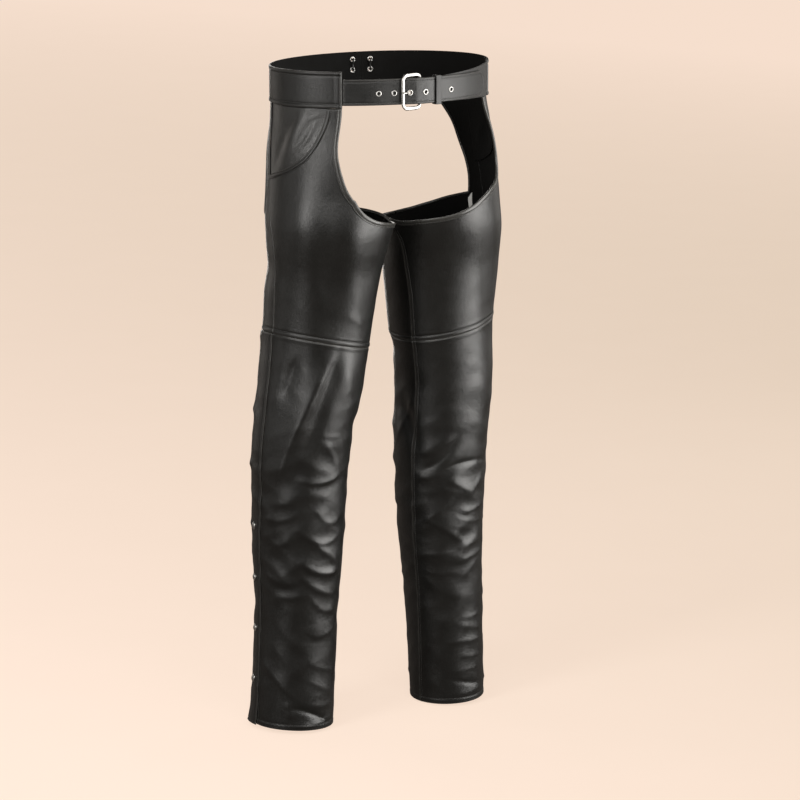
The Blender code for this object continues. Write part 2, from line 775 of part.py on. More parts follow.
def ring_frame(angle, height, out):
    """Puts local (x along the band, y up, h out) on the ring."""
    centre = ring(angle, height, out)
    along = (ring(angle - 0.5, 0, 0) - ring(angle + 0.5, 0, 0)).normalized()
    up = Vector((0, 0, 1))
    out_way = along.cross(up)
    return lambda x, y, h: centre + along * x + up * y + out_way * h


def stations(first, last, step, extra=()):
    """Angles from first to last, about a step apart, with the extra ones among them."""
    count = max(1, round(abs(last - first) / step))
    even = [first + (last - first) * k / count for k in range(1, count)]
    low, high = min(first, last), max(first, last)
    inner = [e for e in extra if low + 0.2 < e < high - 0.2]
    kept = [a for a in even if all(abs(a - e) > step * 0.3 for e in inner)]
    kept = sorted(set(kept + inner + [first, last]))
    return kept


def back_angles():
    """The angles of the back eyelets, right then left of the slit."""
    reach = ring_degrees(BACK_SLIT, BACK_EYELET_ARC)
    return (BACK_SLIT - reach, BACK_SLIT + reach)


def waistband(tag, first, last, fold_at):
    """Half of the waistband. Its front end is folded back on itself, a little thicker."""
    angles = stations(first, last, BAND_STEP, back_angles() + (fold_at,))
    fold_end = first if abs(fold_at - first) < abs(fold_at - last) else last

    def height(row):
        return BAND_TOP + (BAND_LOW - BAND_TOP) * row / BAND_ROWS

    def outer(angle, _):
        in_fold = abs(angle - fold_end) < abs(fold_at - fold_end) + 0.1
        return BAND_WALL + (END_FOLD_RISE if in_fold else 0.0)

    cells = lattice(len(angles) - 1, BAND_ROWS, lambda i, j: (angles[i], height(j)))
    return wall(f"waistband_{tag}", cells, ring, 0.0, outer)


def punches(tag, places, base):
    """Cutters for eyelet holes at (angle, height) places."""
    made = []
    for number, (angle, height) in enumerate(places, 1):
        profile = ((0.0, -PUNCH), (EYELET_HOLE, -PUNCH), (EYELET_HOLE, PUNCH), (0.0, PUNCH))
        made.append(turned(f"punch_{tag}_{number}", profile, EYELET_SIDES,
                           ring_frame(angle, height, base)))
    return made


def make_waistband():
    slit = ring_degrees(BACK_SLIT, SLIT_WIDTH / 2)
    right = waistband("right", BAND_RIGHT_END, BACK_SLIT - slit, BAND_RIGHT_END + END_FOLD)
    left = waistband("left", BACK_SLIT + slit, 360 + BAND_LEFT_END,
                     360 + BAND_LEFT_END - END_FOLD)
    near, far = back_angles()
    for band, tag, angle in ((right, "right", near), (left, "left", far)):
        places = [(angle, height) for height in BACK_EYELET_HEIGHTS]
        drill(band, punches(f"back_{tag}", places, 0.0))
        for number, (_, height) in enumerate(places, 1):
            turned(f"back_eyelet_{tag}_{number}", EYELET_PROFILE, EYELET_SIDES,
                   ring_frame(angle, height, BAND_WALL))


def strap_half(angle):
    """Half the strap's height, rounded off at the tip."""
    length = TIP_LENGTH
    beyond = (STRAP_TIP + length - angle) / length
    if beyond <= 0:
        return STRAP_HALF
    return max(STRAP_HALF * math.sqrt(max(1 - beyond * beyond, 0.0)), 0.0025)


def make_strap():
    """The front strap, from the right end of the band to its rounded tip."""
    start = BAND_RIGHT_END - ring_degrees(BAND_RIGHT_END, GAP)
    tip = [STRAP_TIP + TIP_LENGTH * (1 - math.sin(math.radians(a))) for a in (30, 52, 70, 90)]
    angles = stations(start, STRAP_TIP + TIP_LENGTH, 4.0, EYELET_ANGLES)
    angles = sorted(set(angles + tip + [STRAP_TIP]), reverse=True)
    cells = lattice(len(angles) - 1, 2, lambda i, j: (angles[i], 1.0 - j))

    def place(angle, share, out):
        return ring(angle, STRAP_MIDDLE + share * strap_half(angle), out)

    strap = wall("belt_strap_right", cells, place, lambda a, _: STRAP_RISE_AT(a),
                 lambda a, _: STRAP_RISE_AT(a) + STRAP_WALL)
    drill(strap, punches("strap", [(a, EYELET_HEIGHT) for a in EYELET_ANGLES], 0.004))
    for number, angle in enumerate(EYELET_ANGLES, 1):
        here = ring(angle, EYELET_HEIGHT, STRAP_RISE_AT(angle) + STRAP_WALL)
        ahead = ring(angle - 0.5, EYELET_HEIGHT, STRAP_RISE_AT(angle - 0.5) + STRAP_WALL)
        behind = ring(angle + 0.5, EYELET_HEIGHT, STRAP_RISE_AT(angle + 0.5) + STRAP_WALL)
        along = (ahead - behind).normalized()
        up = Vector((0, 0, 1))
        out_way = along.cross(up)

        def put(x, y, h, here=here, along=along, up=up, out_way=out_way):
            return here + along * x + up * y + out_way * h

        turned(f"strap_eyelet_{number}", EYELET_PROFILE, EYELET_SIDES, put)


def under_strap_edges(angle):
    """The top and bottom of the strap under the front one: it widens to the band's end."""
    share = min(max((HINGE_ANGLE - angle) / (HINGE_ANGLE - BAND_LEFT_END), 0.0), 1.0)
    return [narrow + (wide - narrow) * share
            for narrow, wide in zip(UNDER_STRAP_AT_HINGE, UNDER_STRAP_AT_BAND)]


def ring_angle(point):
    """The ring's angle at a point."""
    side = RIGHT if point.x < 0 else LEFT
    return math.degrees(math.atan2(-point.x / SECTION[side][2](0.0),
                                   -point.y / SECTION[side][3](0.0)))


def make_under_strap():
    """The left strap: folded round the buckle's hinge bar, then sewn to the band."""
    hinge = ring(HINGE_ANGLE, 0.0, HINGE_OUT)
    along = (ring(HINGE_ANGLE - 0.5, 0, 0) - ring(HINGE_ANGLE + 0.5, 0, 0)).normalized()
    out_way = along.cross(Vector((0, 0, 1)))

    def bend(radius):
        turns = [math.radians(75 + 30 * k) for k in range(8)]
        return [hinge + along * (radius * math.cos(t)) + out_way * (radius * math.sin(t))
                for t in turns]

    def side_way(x, h):
        return hinge + along * x + out_way * h

    near = HINGE_BAR_HALF + FOLD_CLEAR
    far = near + FOLD_PLY
    end = BAND_LEFT_END + ring_degrees(BAND_LEFT_END, GAP)
    angles = sorted(stations(end, UNDER_STRAP_FROM, BAND_STEP), reverse=True)
    outer = [ring(a, 0.0, BAND_WALL) for a in angles]
    inner = [ring(a, 0.0, BAND_WALL - UNDER_STRAP_WALL) for a in angles]
    ply_inner = [ring(a, 0.0, -FOLD_BACK) for a in FOLD_ENDS]
    ply_outer = [ring(a, 0.0, -FOLD_BACK - FOLD_PLY) for a in FOLD_ENDS]
    outline = (bend(near) + ply_inner + ply_outer[::-1] + bend(far)[::-1]
               + outer + inner[::-1])
    count = len(outline)
    edges = [under_strap_edges(ring_angle(point)) for point in outline]
    points = [Vector((point.x, point.y, edge[level]))
              for level in (0, 1) for point, edge in zip(outline, edges)]
    faces = [(k, (k + 1) % count, count + (k + 1) % count, count + k) for k in range(count)]
    faces.append(tuple(reversed(range(count))))
    faces.append(tuple(range(count, 2 * count)))
    strap = solid("belt_strap_left", points, faces)

    ends = [side_way(x, h) for x, h in ((-SLOT_REACH, -SLOT_REACH), (SLOT_AHEAD, -SLOT_REACH),
                                        (SLOT_AHEAD, SLOT_REACH), (-SLOT_REACH, SLOT_REACH))]
    box = [Vector((p.x, p.y, EYELET_HEIGHT + way * SLOT_HALF)) for way in (-1, 1) for p in ends]
    cutter = solid("prong_slot", box, [(0, 1, 2, 3), (7, 6, 5, 4), (0, 4, 5, 1), (1, 5, 6, 2),
                                       (2, 6, 7, 3), (3, 7, 4, 0)])
    drill(strap, [cutter])


def frame_spots():
    """The buckle frame's plane: its two bars, and the directions between them."""
    hinge = ring(HINGE_ANGLE, FRAME_MIDDLE, HINGE_OUT)
    lift = STRAP_RISE_AT(BAR_ANGLE) + STRAP_WALL + GAP * 2 + FRAME_BAR_THICK
    bar = ring(BAR_ANGLE, FRAME_MIDDLE, lift)
    across = (bar - hinge).normalized()
    up = Vector((0, 0, 1))
    return hinge, bar, across, up, up.cross(across)


def make_buckle_frame():
    """A rounded frame of one bent bar, its hinge side under the strap."""
    hinge, bar, across, up, out_way = frame_spots()
    width = (bar - hinge).length
    height = FRAME_HALF_HEIGHT
    radius = FRAME_CORNER
    centres = ((width - radius, height - radius, 0), (radius, height - radius, 90),
               (radius, radius - height, 180), (width - radius, radius - height, 270))
    path, normals = [], []
    for x, z, first in centres:
        for k in range(5):
            turn = math.radians(first + 22.5 * k)
            path.append(hinge + across * (x + radius * math.cos(turn))
                        + up * (z + radius * math.sin(turn)))
            normals.append(across * math.cos(turn) + up * math.sin(turn))

    def section(k):
        from_hinge = (path[k] - hinge).dot(across)
        share = min(max(from_hinge / radius, 0.0), 1.0)
        half = HINGE_BAR_HALF + (FRAME_BAR_HALF - HINGE_BAR_HALF) * share
        thick = FRAME_BAR_THICK
        return [normals[k] * (half * math.cos(t)) + out_way * (-thick * math.sin(t))
                for t in (math.radians(45 * s) for s in range(8))]

    swept("buckle_frame", path, section, closed=True)


def make_prong():
    """The prong: curled round the hinge bar, up through an eyelet and onto the bar."""
    hinge, bar, across, up, out_way = frame_spots()
    drop = Vector((0, 0, EYELET_HEIGHT - FRAME_MIDDLE))
    hinge, bar = hinge + drop, bar + drop
    curl = HINGE_BAR_HALF + PRONG_CLEAR + PRONG_RADIUS
    way = (ring(HINGE_ANGLE + 0.5, 0, 0) - ring(HINGE_ANGLE - 0.5, 0, 0)).normalized()
    lift = up.cross(way)
    path = [hinge + way * (curl * math.cos(t)) + lift * (curl * math.sin(t))
            for t in (math.radians(a) for a in PRONG_CURL)]
    eyelet = EYELET_ANGLES[PRONG_EYELET]
    under = STRAP_RISE_AT(eyelet)
    path.extend(ring(eyelet + ahead, EYELET_HEIGHT, base + rise) for ahead, base, rise in (
        (-4.0, HINGE_OUT, 0.0024), (-0.9, under, -0.0018),
        (-0.1, under, STRAP_WALL / 2), (0.5, under + STRAP_WALL, 0.0028)))
    over = FRAME_BAR_THICK + GAP + PRONG_RADIUS
    path.extend(bar + across * past + out_way * over for past in (-0.0030, 0.0016))

    def section(k):
        ahead = path[min(k + 1, len(path) - 1)] - path[max(k - 1, 0)]
        top = up.cross(ahead).normalized()
        return [up * (PRONG_RADIUS * math.cos(t)) + top * (PRONG_RADIUS * math.sin(t))
                for t in (math.radians(60 * s) for s in range(6))]

    swept("buckle_prong", path, section)


def make_keeper():
    """The loop that holds the strap down on the one beneath it."""
    low_out = BAND_WALL - UNDER_STRAP_WALL - KEEPER_CLEAR
    high_out = BAND_WALL + GAP + STRAP_WALL + KEEPER_CLEAR + KEEPER_OVER_EYELET
    top = STRAP_MIDDLE + STRAP_HALF + KEEPER_CLEAR
    low = STRAP_MIDDLE - STRAP_HALF
    low = min(low, under_strap_edges(KEEPER_ANGLES[-1])[1]) - KEEPER_CLEAR
    points = []
    for grow in (0.0, KEEPER_WALL):
        half = grow / 2
        outline = ((top + grow, low_out - grow), (top + grow, high_out + half),
                   (top + half, high_out + grow), (low - half, high_out + grow),
                   (low - grow, high_out + half), (low - grow, low_out - grow))
        points.extend(ring(angle, height, out)
                      for height, out in outline for angle in KEEPER_ANGLES)
    sides, stops = len(outline), len(KEEPER_ANGLES)
    shell = sides * stops
    faces = []
    for k in range(sides):
        here, there = k * stops, ((k + 1) % sides) * stops
        for s in range(stops - 1):
            a, b = here + s, there + s
            faces.append((a, a + 1, b + 1, b))
            faces.append((shell + b, shell + b + 1, shell + a + 1, shell + a))
        faces.append((here, there, shell + there, shell + here))
        a, b = here + stops - 1, there + stops - 1
        faces.append((b, a, shell + a, shell + b))
    solid("belt_keeper", points, faces)


def make_lace():
    """A round thong: crossed outside the slit, upright inside, through four eyelets."""
    near, far = back_angles()
    high, low = BACK_EYELET_HEIGHTS
    rest = BAND_WALL + 0.0012 + GAP + LACE_RADIUS
    inside = -GAP - LACE_RADIUS - 0.0004
    over = rest + 2 * LACE_RADIUS + GAP

    def through(angle, height, outward_first):
        steps = [(angle, height, rest * 0.92), (angle, height, 0.0015), (angle, height, inside)]
        return steps if outward_first else steps[::-1]

    def crossing(start, end, middle_out):
        lean = []
        for share in (0.18, 0.34, 0.5, 0.66, 0.82):
            bump = math.exp(-((share - 0.5) / 0.17)**2)
            lean.append((start[0] + (end[0] - start[0]) * share,
                         start[1] + (end[1] - start[1]) * share,
                         rest + (middle_out - rest) * bump))
        return lean

    route = (through(near, high, False) + crossing((near, high), (far, low), rest)
             + through(far, low, True) + [(far, (high + low) / 2, inside)]
             + through(far, high, False) + crossing((far, high), (near, low), over)
             + through(near, low, True) + [(near, (high + low) / 2, inside)])
    curve = bpy.data.curves.new("back_lace", "CURVE")
    curve.dimensions = "3D"
    curve.bevel_depth = LACE_RADIUS
    curve.bevel_resolution = 1
    spline = curve.splines.new("POLY")
    spline.points.add(len(route) - 1)
    for spot, (angle, height, out) in zip(spline.points, route):
        spot.co = (*ring(angle, height, out), 1.0)
    spline.use_cyclic_u = True
    curve.materials.append(material("black leather"))
    lace = bpy.data.objects.new("back_lace", curve)
    bpy.context.scene.collection.objects.link(lace)


def main():
    for old in list(bpy.data.objects):
        bpy.data.objects.remove(old, do_unlink=True)
    make_leg(RIGHT, "right")
    left_back = make_leg(LEFT, "left")
    care_label(left_back)
    make_waistband()
    make_strap()
    make_under_strap()
    make_buckle_frame()
    make_prong()
    make_keeper()
    make_lace()


main()
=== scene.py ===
"""Leather chaps, dressed: every panel, binding and strap as worn leather, with its folds,
edges and stitching, its polished metal, and a plain pale studio.

Metres, +Z up, the wearer faces -Y. The origin is the centre of the waist ring, at the
waistband's mid-height. Right and left are the wearer's: right is -X, left is +X.
Every leather piece is laid out in two coordinates and wrapped on the same form:
  angle   degrees round the leg, 0 at the front, 90 outermost, 180 at the back
  height  metres, 0 at the middle of the waistband
"""
import math

import bpy
import numpy as np
from mathutils import Matrix, Vector


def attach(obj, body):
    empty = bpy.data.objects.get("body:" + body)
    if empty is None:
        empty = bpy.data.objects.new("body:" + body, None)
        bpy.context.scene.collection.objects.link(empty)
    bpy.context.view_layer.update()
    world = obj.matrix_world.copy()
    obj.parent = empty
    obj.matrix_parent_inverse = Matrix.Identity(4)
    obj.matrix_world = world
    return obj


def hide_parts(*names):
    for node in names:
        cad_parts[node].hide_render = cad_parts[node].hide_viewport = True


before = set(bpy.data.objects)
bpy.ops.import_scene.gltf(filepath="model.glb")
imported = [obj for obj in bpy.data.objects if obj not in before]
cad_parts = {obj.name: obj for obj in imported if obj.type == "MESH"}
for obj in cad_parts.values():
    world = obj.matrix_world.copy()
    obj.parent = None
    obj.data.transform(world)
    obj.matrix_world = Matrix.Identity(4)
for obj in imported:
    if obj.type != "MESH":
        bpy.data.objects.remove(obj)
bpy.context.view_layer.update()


def table(columns, *rows):
    """Rows whose values go by the names of their columns."""
    return [dict(zip(columns.split(), row)) for row in rows]


RIGHT = -1
LEFT = 1
TAGS = {RIGHT: "right", LEFT: "left"}

# thicknesses and clearances
LEATHER = 0.0016
BAND_WALL = 0.0030
GAP = 0.0003
HALF_GAP = GAP / 2

# heights
BAND_TOP = 0.028
BAND_LOW = -0.028
KNEE = -0.400
KNEE_TILT = 0.017
HEM = -1.0185
HEM_TILT = 0.0035
CROTCH = {RIGHT: -0.2135, LEFT: -0.2185}

# the form that the leather is wrapped on: one row for each section of a leg
FORM_COLUMNS = "height centre_out centre_back half_width half_depth"
FORM_RIGHT = table(
    FORM_COLUMNS,
    (-1.030, 0.1522, 0.028, 0.0632, 0.0640),
    (-0.850, 0.1447, 0.025, 0.0627, 0.0650),
    (-0.720, 0.1415, 0.022, 0.0700, 0.0700),
    (-0.600, 0.1395, 0.019, 0.0745, 0.0740),
    (-0.500, 0.1273, 0.014, 0.0803, 0.0800),
    (-0.400, 0.1150, 0.010, 0.0830, 0.0830),
    (-0.300, 0.1080, 0.002, 0.0885, 0.0900),
    (-0.220, 0.1030, -0.012, 0.0975, 0.1010),
    (-0.160, 0.0790, -0.006, 0.1150, 0.1100),
    (-0.100, 0.0360, -0.002, 0.1530, 0.1260),
    (-0.030, 0.0000, 0.000, 0.1840, 0.1300),
    (0.030, 0.0000, 0.000, 0.1840, 0.1300),
)
FORM_LEFT = table(
    FORM_COLUMNS,
    (-1.030, 0.1455, 0.028, 0.0565, 0.0620),
    (-0.850, 0.1355, 0.025, 0.0610, 0.0640),
    (-0.720, 0.1265, 0.022, 0.0675, 0.0690),
    (-0.600, 0.1245, 0.019, 0.0735, 0.0740),
    (-0.500, 0.1270, 0.014, 0.0760, 0.0790),
    (-0.400, 0.1180, 0.010, 0.0810, 0.0830),
    (-0.300, 0.1110, 0.002, 0.0890, 0.0900),
    (-0.220, 0.1005, -0.012, 0.0925, 0.1000),
    (-0.160, 0.0800, -0.007, 0.1110, 0.1110),
    (-0.100, 0.0395, -0.003, 0.1460, 0.1280),
    (-0.030, 0.0000, 0.000, 0.1765, 0.1300),
    (0.030, 0.0000, 0.000, 0.1765, 0.1300),
)

# the front panel's open edge: down from the waistband, then in to the crotch
SCOOP = table(
    "height right left",
    (-0.1680, 20.3, 31.0),
    (-0.1620, 23.5, 38.5),
    (-0.1500, 29.0, 48.0),
    (-0.1350, 34.5, 54.0),
    (-0.1200, 39.0, 56.5),
    (-0.1000, 43.0, 57.0),
    (-0.0750, 45.0, 55.0),
    (-0.0500, 45.5, 50.5),
    (-0.0280, 45.5, 47.5),
)
UNDER_SCOOP = table(
    "angle right left",
    (-88.0, -0.2135, -0.2185),
    (-80.0, -0.2165, -0.2200),
    (-72.0, -0.2190, -0.2198),
    (-50.0, -0.2155, -0.2145),
    (-28.0, -0.2098, -0.2086),
    (-10.0, -0.2030, -0.2006),
    (4.0, -0.1925, -0.1913),
    (14.0, -0.1790, -0.1828),
    (20.3, -0.1680, -0.1777),
    (31.0, -0.1680, -0.1680),
)
# the back panel's open edge: down from the waistband to a corner, then in under the seat
SEAT_SIDE = table(
    "height right left",
    (-0.196, 124.0, 112.3),
    (-0.186, 123.0, 111.1),
    (-0.166, 121.8, 110.0),
    (-0.148, 121.6, 110.4),
    (-0.115, 122.2, 112.7),
    (-0.084, 123.4, 115.1),
    (-0.056, 126.2, 119.9),
    (-0.028, 131.0, 126.3),
)
UNDER_SEAT = table(
    "angle right left",
    (112.3, -0.1960, -0.1960),
    (124.0, -0.1960, -0.2010),
    (133.0, -0.2000, -0.2050),
    (156.0, -0.2052, -0.2165),
    (178.0, -0.2065, -0.2240),
    (200.0, -0.2066, -0.2265),
    (225.0, -0.2066, -0.2258),
    (245.0, -0.2085, -0.2235),
    (260.0, -0.2110, -0.2205),
    (272.0, -0.2135, -0.2185),
)
# the pocket mouth, from the waistband out to the side seam
MOUTH = table(
    "height right left",
    (-0.1385, 105.5, 97.0),
    (-0.1360, 100.0, 94.0),
    (-0.1335, 95.5, 91.0),
    (-0.1305, 90.0, 87.0),
    (-0.1270, 84.5, 83.0),
    (-0.1210, 77.5, 77.0),
    (-0.1120, 70.5, 70.5),
    (-0.1030, 65.5, 65.5),
    (-0.0840, 59.8, 59.8),
    (-0.0660, 56.8, 56.8),
    (-0.0470, 54.7, 54.7),
    (-0.0280, 53.5, 53.5),
)
MOUTH_END = -0.1385
# the seams that run down the leg
SEAMS = table(
    "height right left inner",
    (-1.030, 90.0, 90.0, -83.0),
    (-0.850, 91.0, 91.0, -76.0),
    (-0.720, 88.0, 88.0, -73.0),
    (-0.600, 84.0, 84.0, -70.0),
    (-0.450, 84.0, 84.0, -67.0),
    (-0.350, 86.0, 86.0, -66.0),
    (-0.290, 88.5, 88.0, -70.0),
    (-0.255, 92.5, 90.0, -76.0),
    (-0.2225, 97.5, 92.5, -88.0),
    (-0.196, 101.0, 94.5, -88.0),
    (-0.166, 103.5, 96.0, -88.0),
    (-0.1385, 105.5, 97.0, -88.0),
    (-0.028, 106.0, 97.5, -88.0),
)

# the broad folds, a soft ridge (+) or trough (-) each: where its middle is, which way it
# runs (degrees above the level line, turning toward a larger angle), and its size
FOLDS = table(
    "side angle height slope half_length half_width rise",
    (RIGHT, 60, -0.190, 90, 0.050, 0.020, 0.0025),
    (RIGHT, 31, -0.275, 83, 0.100, 0.019, -0.0040),
    (RIGHT, 2, -0.290, 80, 0.090, 0.017, 0.0030),
    (RIGHT, 120, -0.283, 0, 0.035, 0.026, -0.0045),
    (RIGHT, -57, -0.535, 0, 0.030, 0.018, -0.0045),
    (RIGHT, 33, -0.510, -73, 0.080, 0.015, 0.0045),
    (RIGHT, 19, -0.500, -78, 0.080, 0.013, -0.0045),
    (RIGHT, 57, -0.460, -80, 0.055, 0.016, -0.0040),
    (RIGHT, -10, -0.460, 76, 0.045, 0.015, 0.0030),
    (RIGHT, 175, -0.535, 8, 0.045, 0.013, -0.0050),
    (RIGHT, 190, -0.575, -12, 0.050, 0.013, -0.0055),
    (RIGHT, 168, -0.625, 18, 0.042, 0.013, -0.0045),
    (RIGHT, 196, -0.700, -20, 0.040, 0.012, -0.0040),
    (RIGHT, 230, -0.550, 24, 0.034, 0.012, -0.0040),
    (LEFT, 62, -0.300, -80, 0.120, 0.022, 0.0030),
    (LEFT, 20, -0.300, -84, 0.100, 0.020, -0.0030),
    (LEFT, 237, -0.435, 0, 0.035, 0.020, -0.0045),
    (LEFT, -78, -0.550, -68, 0.036, 0.012, -0.0045),
    (LEFT, 90, -0.713, 18, 0.032, 0.012, -0.0040),
    (LEFT, 182, -0.530, -8, 0.046, 0.013, -0.0050),
    (LEFT, 168, -0.575, 14, 0.050, 0.013, -0.0055),
    (LEFT, 194, -0.630, -16, 0.042, 0.013, -0.0045),
    (LEFT, 172, -0.705, 22, 0.040, 0.012, -0.0040),
    (LEFT, 134, -0.560, -24, 0.034, 0.012, -0.0040),
)
# the leg's radius that turns a fold's degrees into metres
FOLD_RADIUS = 0.075

# how strongly the leather is crumpled, in millimetres, up the leg
CRUMPLE_HEIGHTS = (-1.02, -0.99, -0.90, -0.84, -0.74, -0.60, -0.53, -0.44, -0.38, -0.20, 0.0)
CRUMPLE = (0.10, 0.30, 0.45, 0.70, 1.05, 0.95, 0.55, 0.28, 0.18, 0.10, 0.08)

# the creases: a line through three places (degrees, millimetres), how far it rises, and how
# wide it is above and below that line, in millimetres
CREASES = table(
    "side angle_1 height_1 angle_2 height_2 angle_3 height_3 rise above below",
    # right leg, from the knee down, in front
    (RIGHT, 3, -374, 30, -485, 68, -650, 2.5, 21, 6),
    (RIGHT, 2, -374, 20, -485, 44, -561, -1.8, 9, 8),
    (RIGHT, 51, -407, 58, -452, 65, -490, -1.8, 9, 9),
    (RIGHT, 14, -543, -10, -580, -24, -615, 1.8, 6, 9),
    (RIGHT, 42, -605, 7, -617, -28, -603, 2.6, 12, 4),
    (RIGHT, 24, -532, 4, -542, -17, -545, 1.1, 10, 8),
    (RIGHT, 76, -647, 41, -646, 5, -616, 1.5, 12, 7),
    (RIGHT, 16, -648, -8, -683, -38, -666, 2.0, 18, 5),
    (RIGHT, 89, -672, 53, -676, 23, -654, 1.6, 9, 6),
    (RIGHT, 41, -676, 7, -713, -36, -701, 2.5, 14, 5),
    (RIGHT, 74, -706, 54, -715, 38, -696, 1.1, 8, 5),
    (RIGHT, 21, -698, -5, -731, -49, -768, 1.8, 10, 6),
    (RIGHT, 35, -732, 5, -762, -41, -761, 4.2, 13, 5),
    (RIGHT, 91, -756, 52, -779, 22, -766, 2.0, 11, 5),
    (RIGHT, 37, -750, 6, -789, -40, -803, 2.5, 12, 5),
    (RIGHT, 68, -795, 42, -802, 16, -790, 1.3, 9, 5),
    (RIGHT, 21, -788, -6, -825, -40, -820, 1.6, 10, 5),
    (RIGHT, 21, -850, -5, -866, -52, -843, 1.8, 11, 5),
    (RIGHT, 20, -900, -9, -920, -57, -929, 1.1, 8, 4),
    (RIGHT, 18, -931, -7, -949, -47, -968, 1.3, 9, 5),
    (RIGHT, 94, -900, 61, -933, 27, -968, 1.6, 11, 7),
    (RIGHT, 18, -971, -10, -981, -54, -978, 1.1, 8, 4),
    (RIGHT, 44, -984, 9, -989, -39, -1021, -3.3, 6, 4),
    (RIGHT, 41, -966, 38, -983, 32, -1002, 1.6, 7, 6),
    (RIGHT, 45, -1005, 7, -1010, -50, -1000, 1.8, 5, 5),
    # right leg, round the knee seam and on the thigh
    (RIGHT, 8, -346, -9, -362, -26, -374, 1.0, 11, 8),
    (RIGHT, 98, -376, 112, -392, 130, -398, 1.6, 9, 8),
    # right leg, outside and behind
    (RIGHT, 112, -462, 140, -478, 176, -470, -2.6, 8, 7),
    (RIGHT, 186, -486, 216, -470, 248, -486, -2.4, 8, 7),
    (RIGHT, 104, -520, 132, -508, 168, -522, 2.6, 12, 6),
    (RIGHT, 150, -556, 184, -546, 222, -560, 3.2, 12, 6),
    (RIGHT, 100, -584, 124, -600, 152, -592, 2.4, 10, 6),
    (RIGHT, 196, -604, 228, -616, 262, -602, 2.6, 11, 6),
    (RIGHT, 128, -640, 160, -628, 196, -644, 3.4, 13, 5),
    (RIGHT, 214, -668, 240, -656, 270, -670, 2.0, 9, 6),
    (RIGHT, 104, -684, 130, -696, 160, -686, 2.2, 9, 5),
    (RIGHT, 166, -718, 198, -706, 230, -722, 2.8, 11, 5),
    (RIGHT, 112, -748, 140, -738, 166, -752, 2.0, 8, 5),
    (RIGHT, 184, -780, 212, -792, 246, -782, 2.2, 9, 5),
    (RIGHT, 120, -826, 150, -818, 182, -830, 1.6, 8, 5),
    (RIGHT, 200, -872, 226, -880, 258, -870, 1.4, 7, 4),
    (RIGHT, 130, -914, 156, -908, 186, -918, 1.4, 7, 4),
    (RIGHT, 112, -968, 142, -962, 178, -970, 1.6, 7, 5),
    (RIGHT, 196, -984, 222, -992, 250, -984, 1.6, 6, 4),
    # left leg, from the knee down, in front
    (LEFT, -70, -489, -84, -546, -108, -603, 1.6, 8, 5),
    (LEFT, -66, -632, -30, -606, -8, -560, -2.1, 8, 6),
    (LEFT, -66, -604, -37, -593, -13, -564, 1.5, 12, 6),
    (LEFT, -66, -636, -46, -639, -28, -622, 1.1, 9, 5),
    (LEFT, -33, -631, -4, -616, 49, -619, -2.5, 6, 5),
    (LEFT, -29, -635, -8, -654, 19, -670, 2.5, 16, 6),
    (LEFT, 6, -668, 23, -653, 38, -634, 1.1, 8, 6),
    (LEFT, -12, -695, 11, -697, 47, -686, 1.8, 10, 4),
    (LEFT, -22, -699, 6, -714, 46, -714, 1.5, 10, 5),
    (LEFT, -75, -724, -42, -702, -3, -664, 1.6, 12, 6),
    (LEFT, -58, -702, -26, -727, 6, -753, 2.0, 10, 6),
    (LEFT, -15, -756, 6, -754, 40, -744, 1.1, 9, 5),
    (LEFT, -76, -771, -44, -768, -8, -762, 1.3, 8, 4),
    (LEFT, -20, -784, 6, -776, 51, -763, 1.8, 10, 4),
    (LEFT, -70, -791, -40, -800, -10, -798, 1.0, 9, 5),
    (LEFT, -17, -875, 7, -876, 48, -871, 1.0, 6, 3),
    (LEFT, -24, -881, 2, -892, 48, -899, 1.1, 8, 4),
    (LEFT, -42, -917, -9, -916, 43, -915, 1.5, 8, 4),
    (LEFT, -21, -938, 3, -942, 39, -940, 1.0, 8, 4),
    (LEFT, -39, -967, -10, -965, 33, -959, 0.8, 8, 4),
    (LEFT, -40, -977, -9, -984, 39, -993, -1.6, 5, 4),
    (LEFT, -32, -1004, -5, -1003, 36, -996, 1.5, 9, 5),
    # left leg, outside and behind
    (LEFT, 56, -596, 78, -610, 104, -600, -2.6, 7, 6),
    (LEFT, 60, -650, 84, -640, 110, -654, 2.8, 12, 6),
    (LEFT, 48, -712, 72, -724, 100, -716, 2.2, 9, 5),
    (LEFT, 66, -778, 92, -770, 118, -782, 2.0, 8, 5),
    (LEFT, 33, -830, 66, -850, 105, -846, 1.1, 9, 4),
    (LEFT, 52, -926, 78, -918, 106, -928, 1.6, 7, 5),
    (LEFT, 40, -984, 70, -990, 104, -982, 1.8, 6, 4),
    (LEFT, 116, -470, 146, -484, 180, -474, -2.6, 8, 7),
    (LEFT, 176, -498, 208, -486, 240, -500, -2.2, 8, 7),
    (LEFT, 124, -530, 152, -518, 190, -532, 2.8, 12, 6),
    (LEFT, 186, -572, 216, -560, 250, -574, 2.8, 12, 6),
    (LEFT, 112, -586, 136, -600, 166, -590, 2.4, 10, 6),
    (LEFT, 150, -644, 184, -632, 220, -646, 3.4, 13, 5),
    (LEFT, 118, -690, 142, -702, 170, -692, 2.2, 9, 5),
    (LEFT, 204, -700, 232, -688, 262, -702, 2.2, 9, 5),
    (LEFT, 160, -740, 190, -752, 222, -742, 2.4, 10, 5),
    (LEFT, 124, -800, 152, -792, 184, -804, 1.8, 8, 5),
    (LEFT, 210, -820, 236, -812, 264, -822, 1.4, 7, 4),
    (LEFT, 140, -886, 168, -894, 200, -886, 1.4, 7, 4),
    (LEFT, 124, -950, 152, -944, 184, -952, 1.6, 7, 5),
    (LEFT, 206, -972, 232, -980, 258, -972, 1.4, 6, 4),
)

# a crease's section and ends: how round its crest is, how fast its flanks run out, and the
# share of its length over which each end fades
CREST = 0.35
FLANK = 1.3
CREASE_FADE = 0.32
CREASE_STEPS = 9

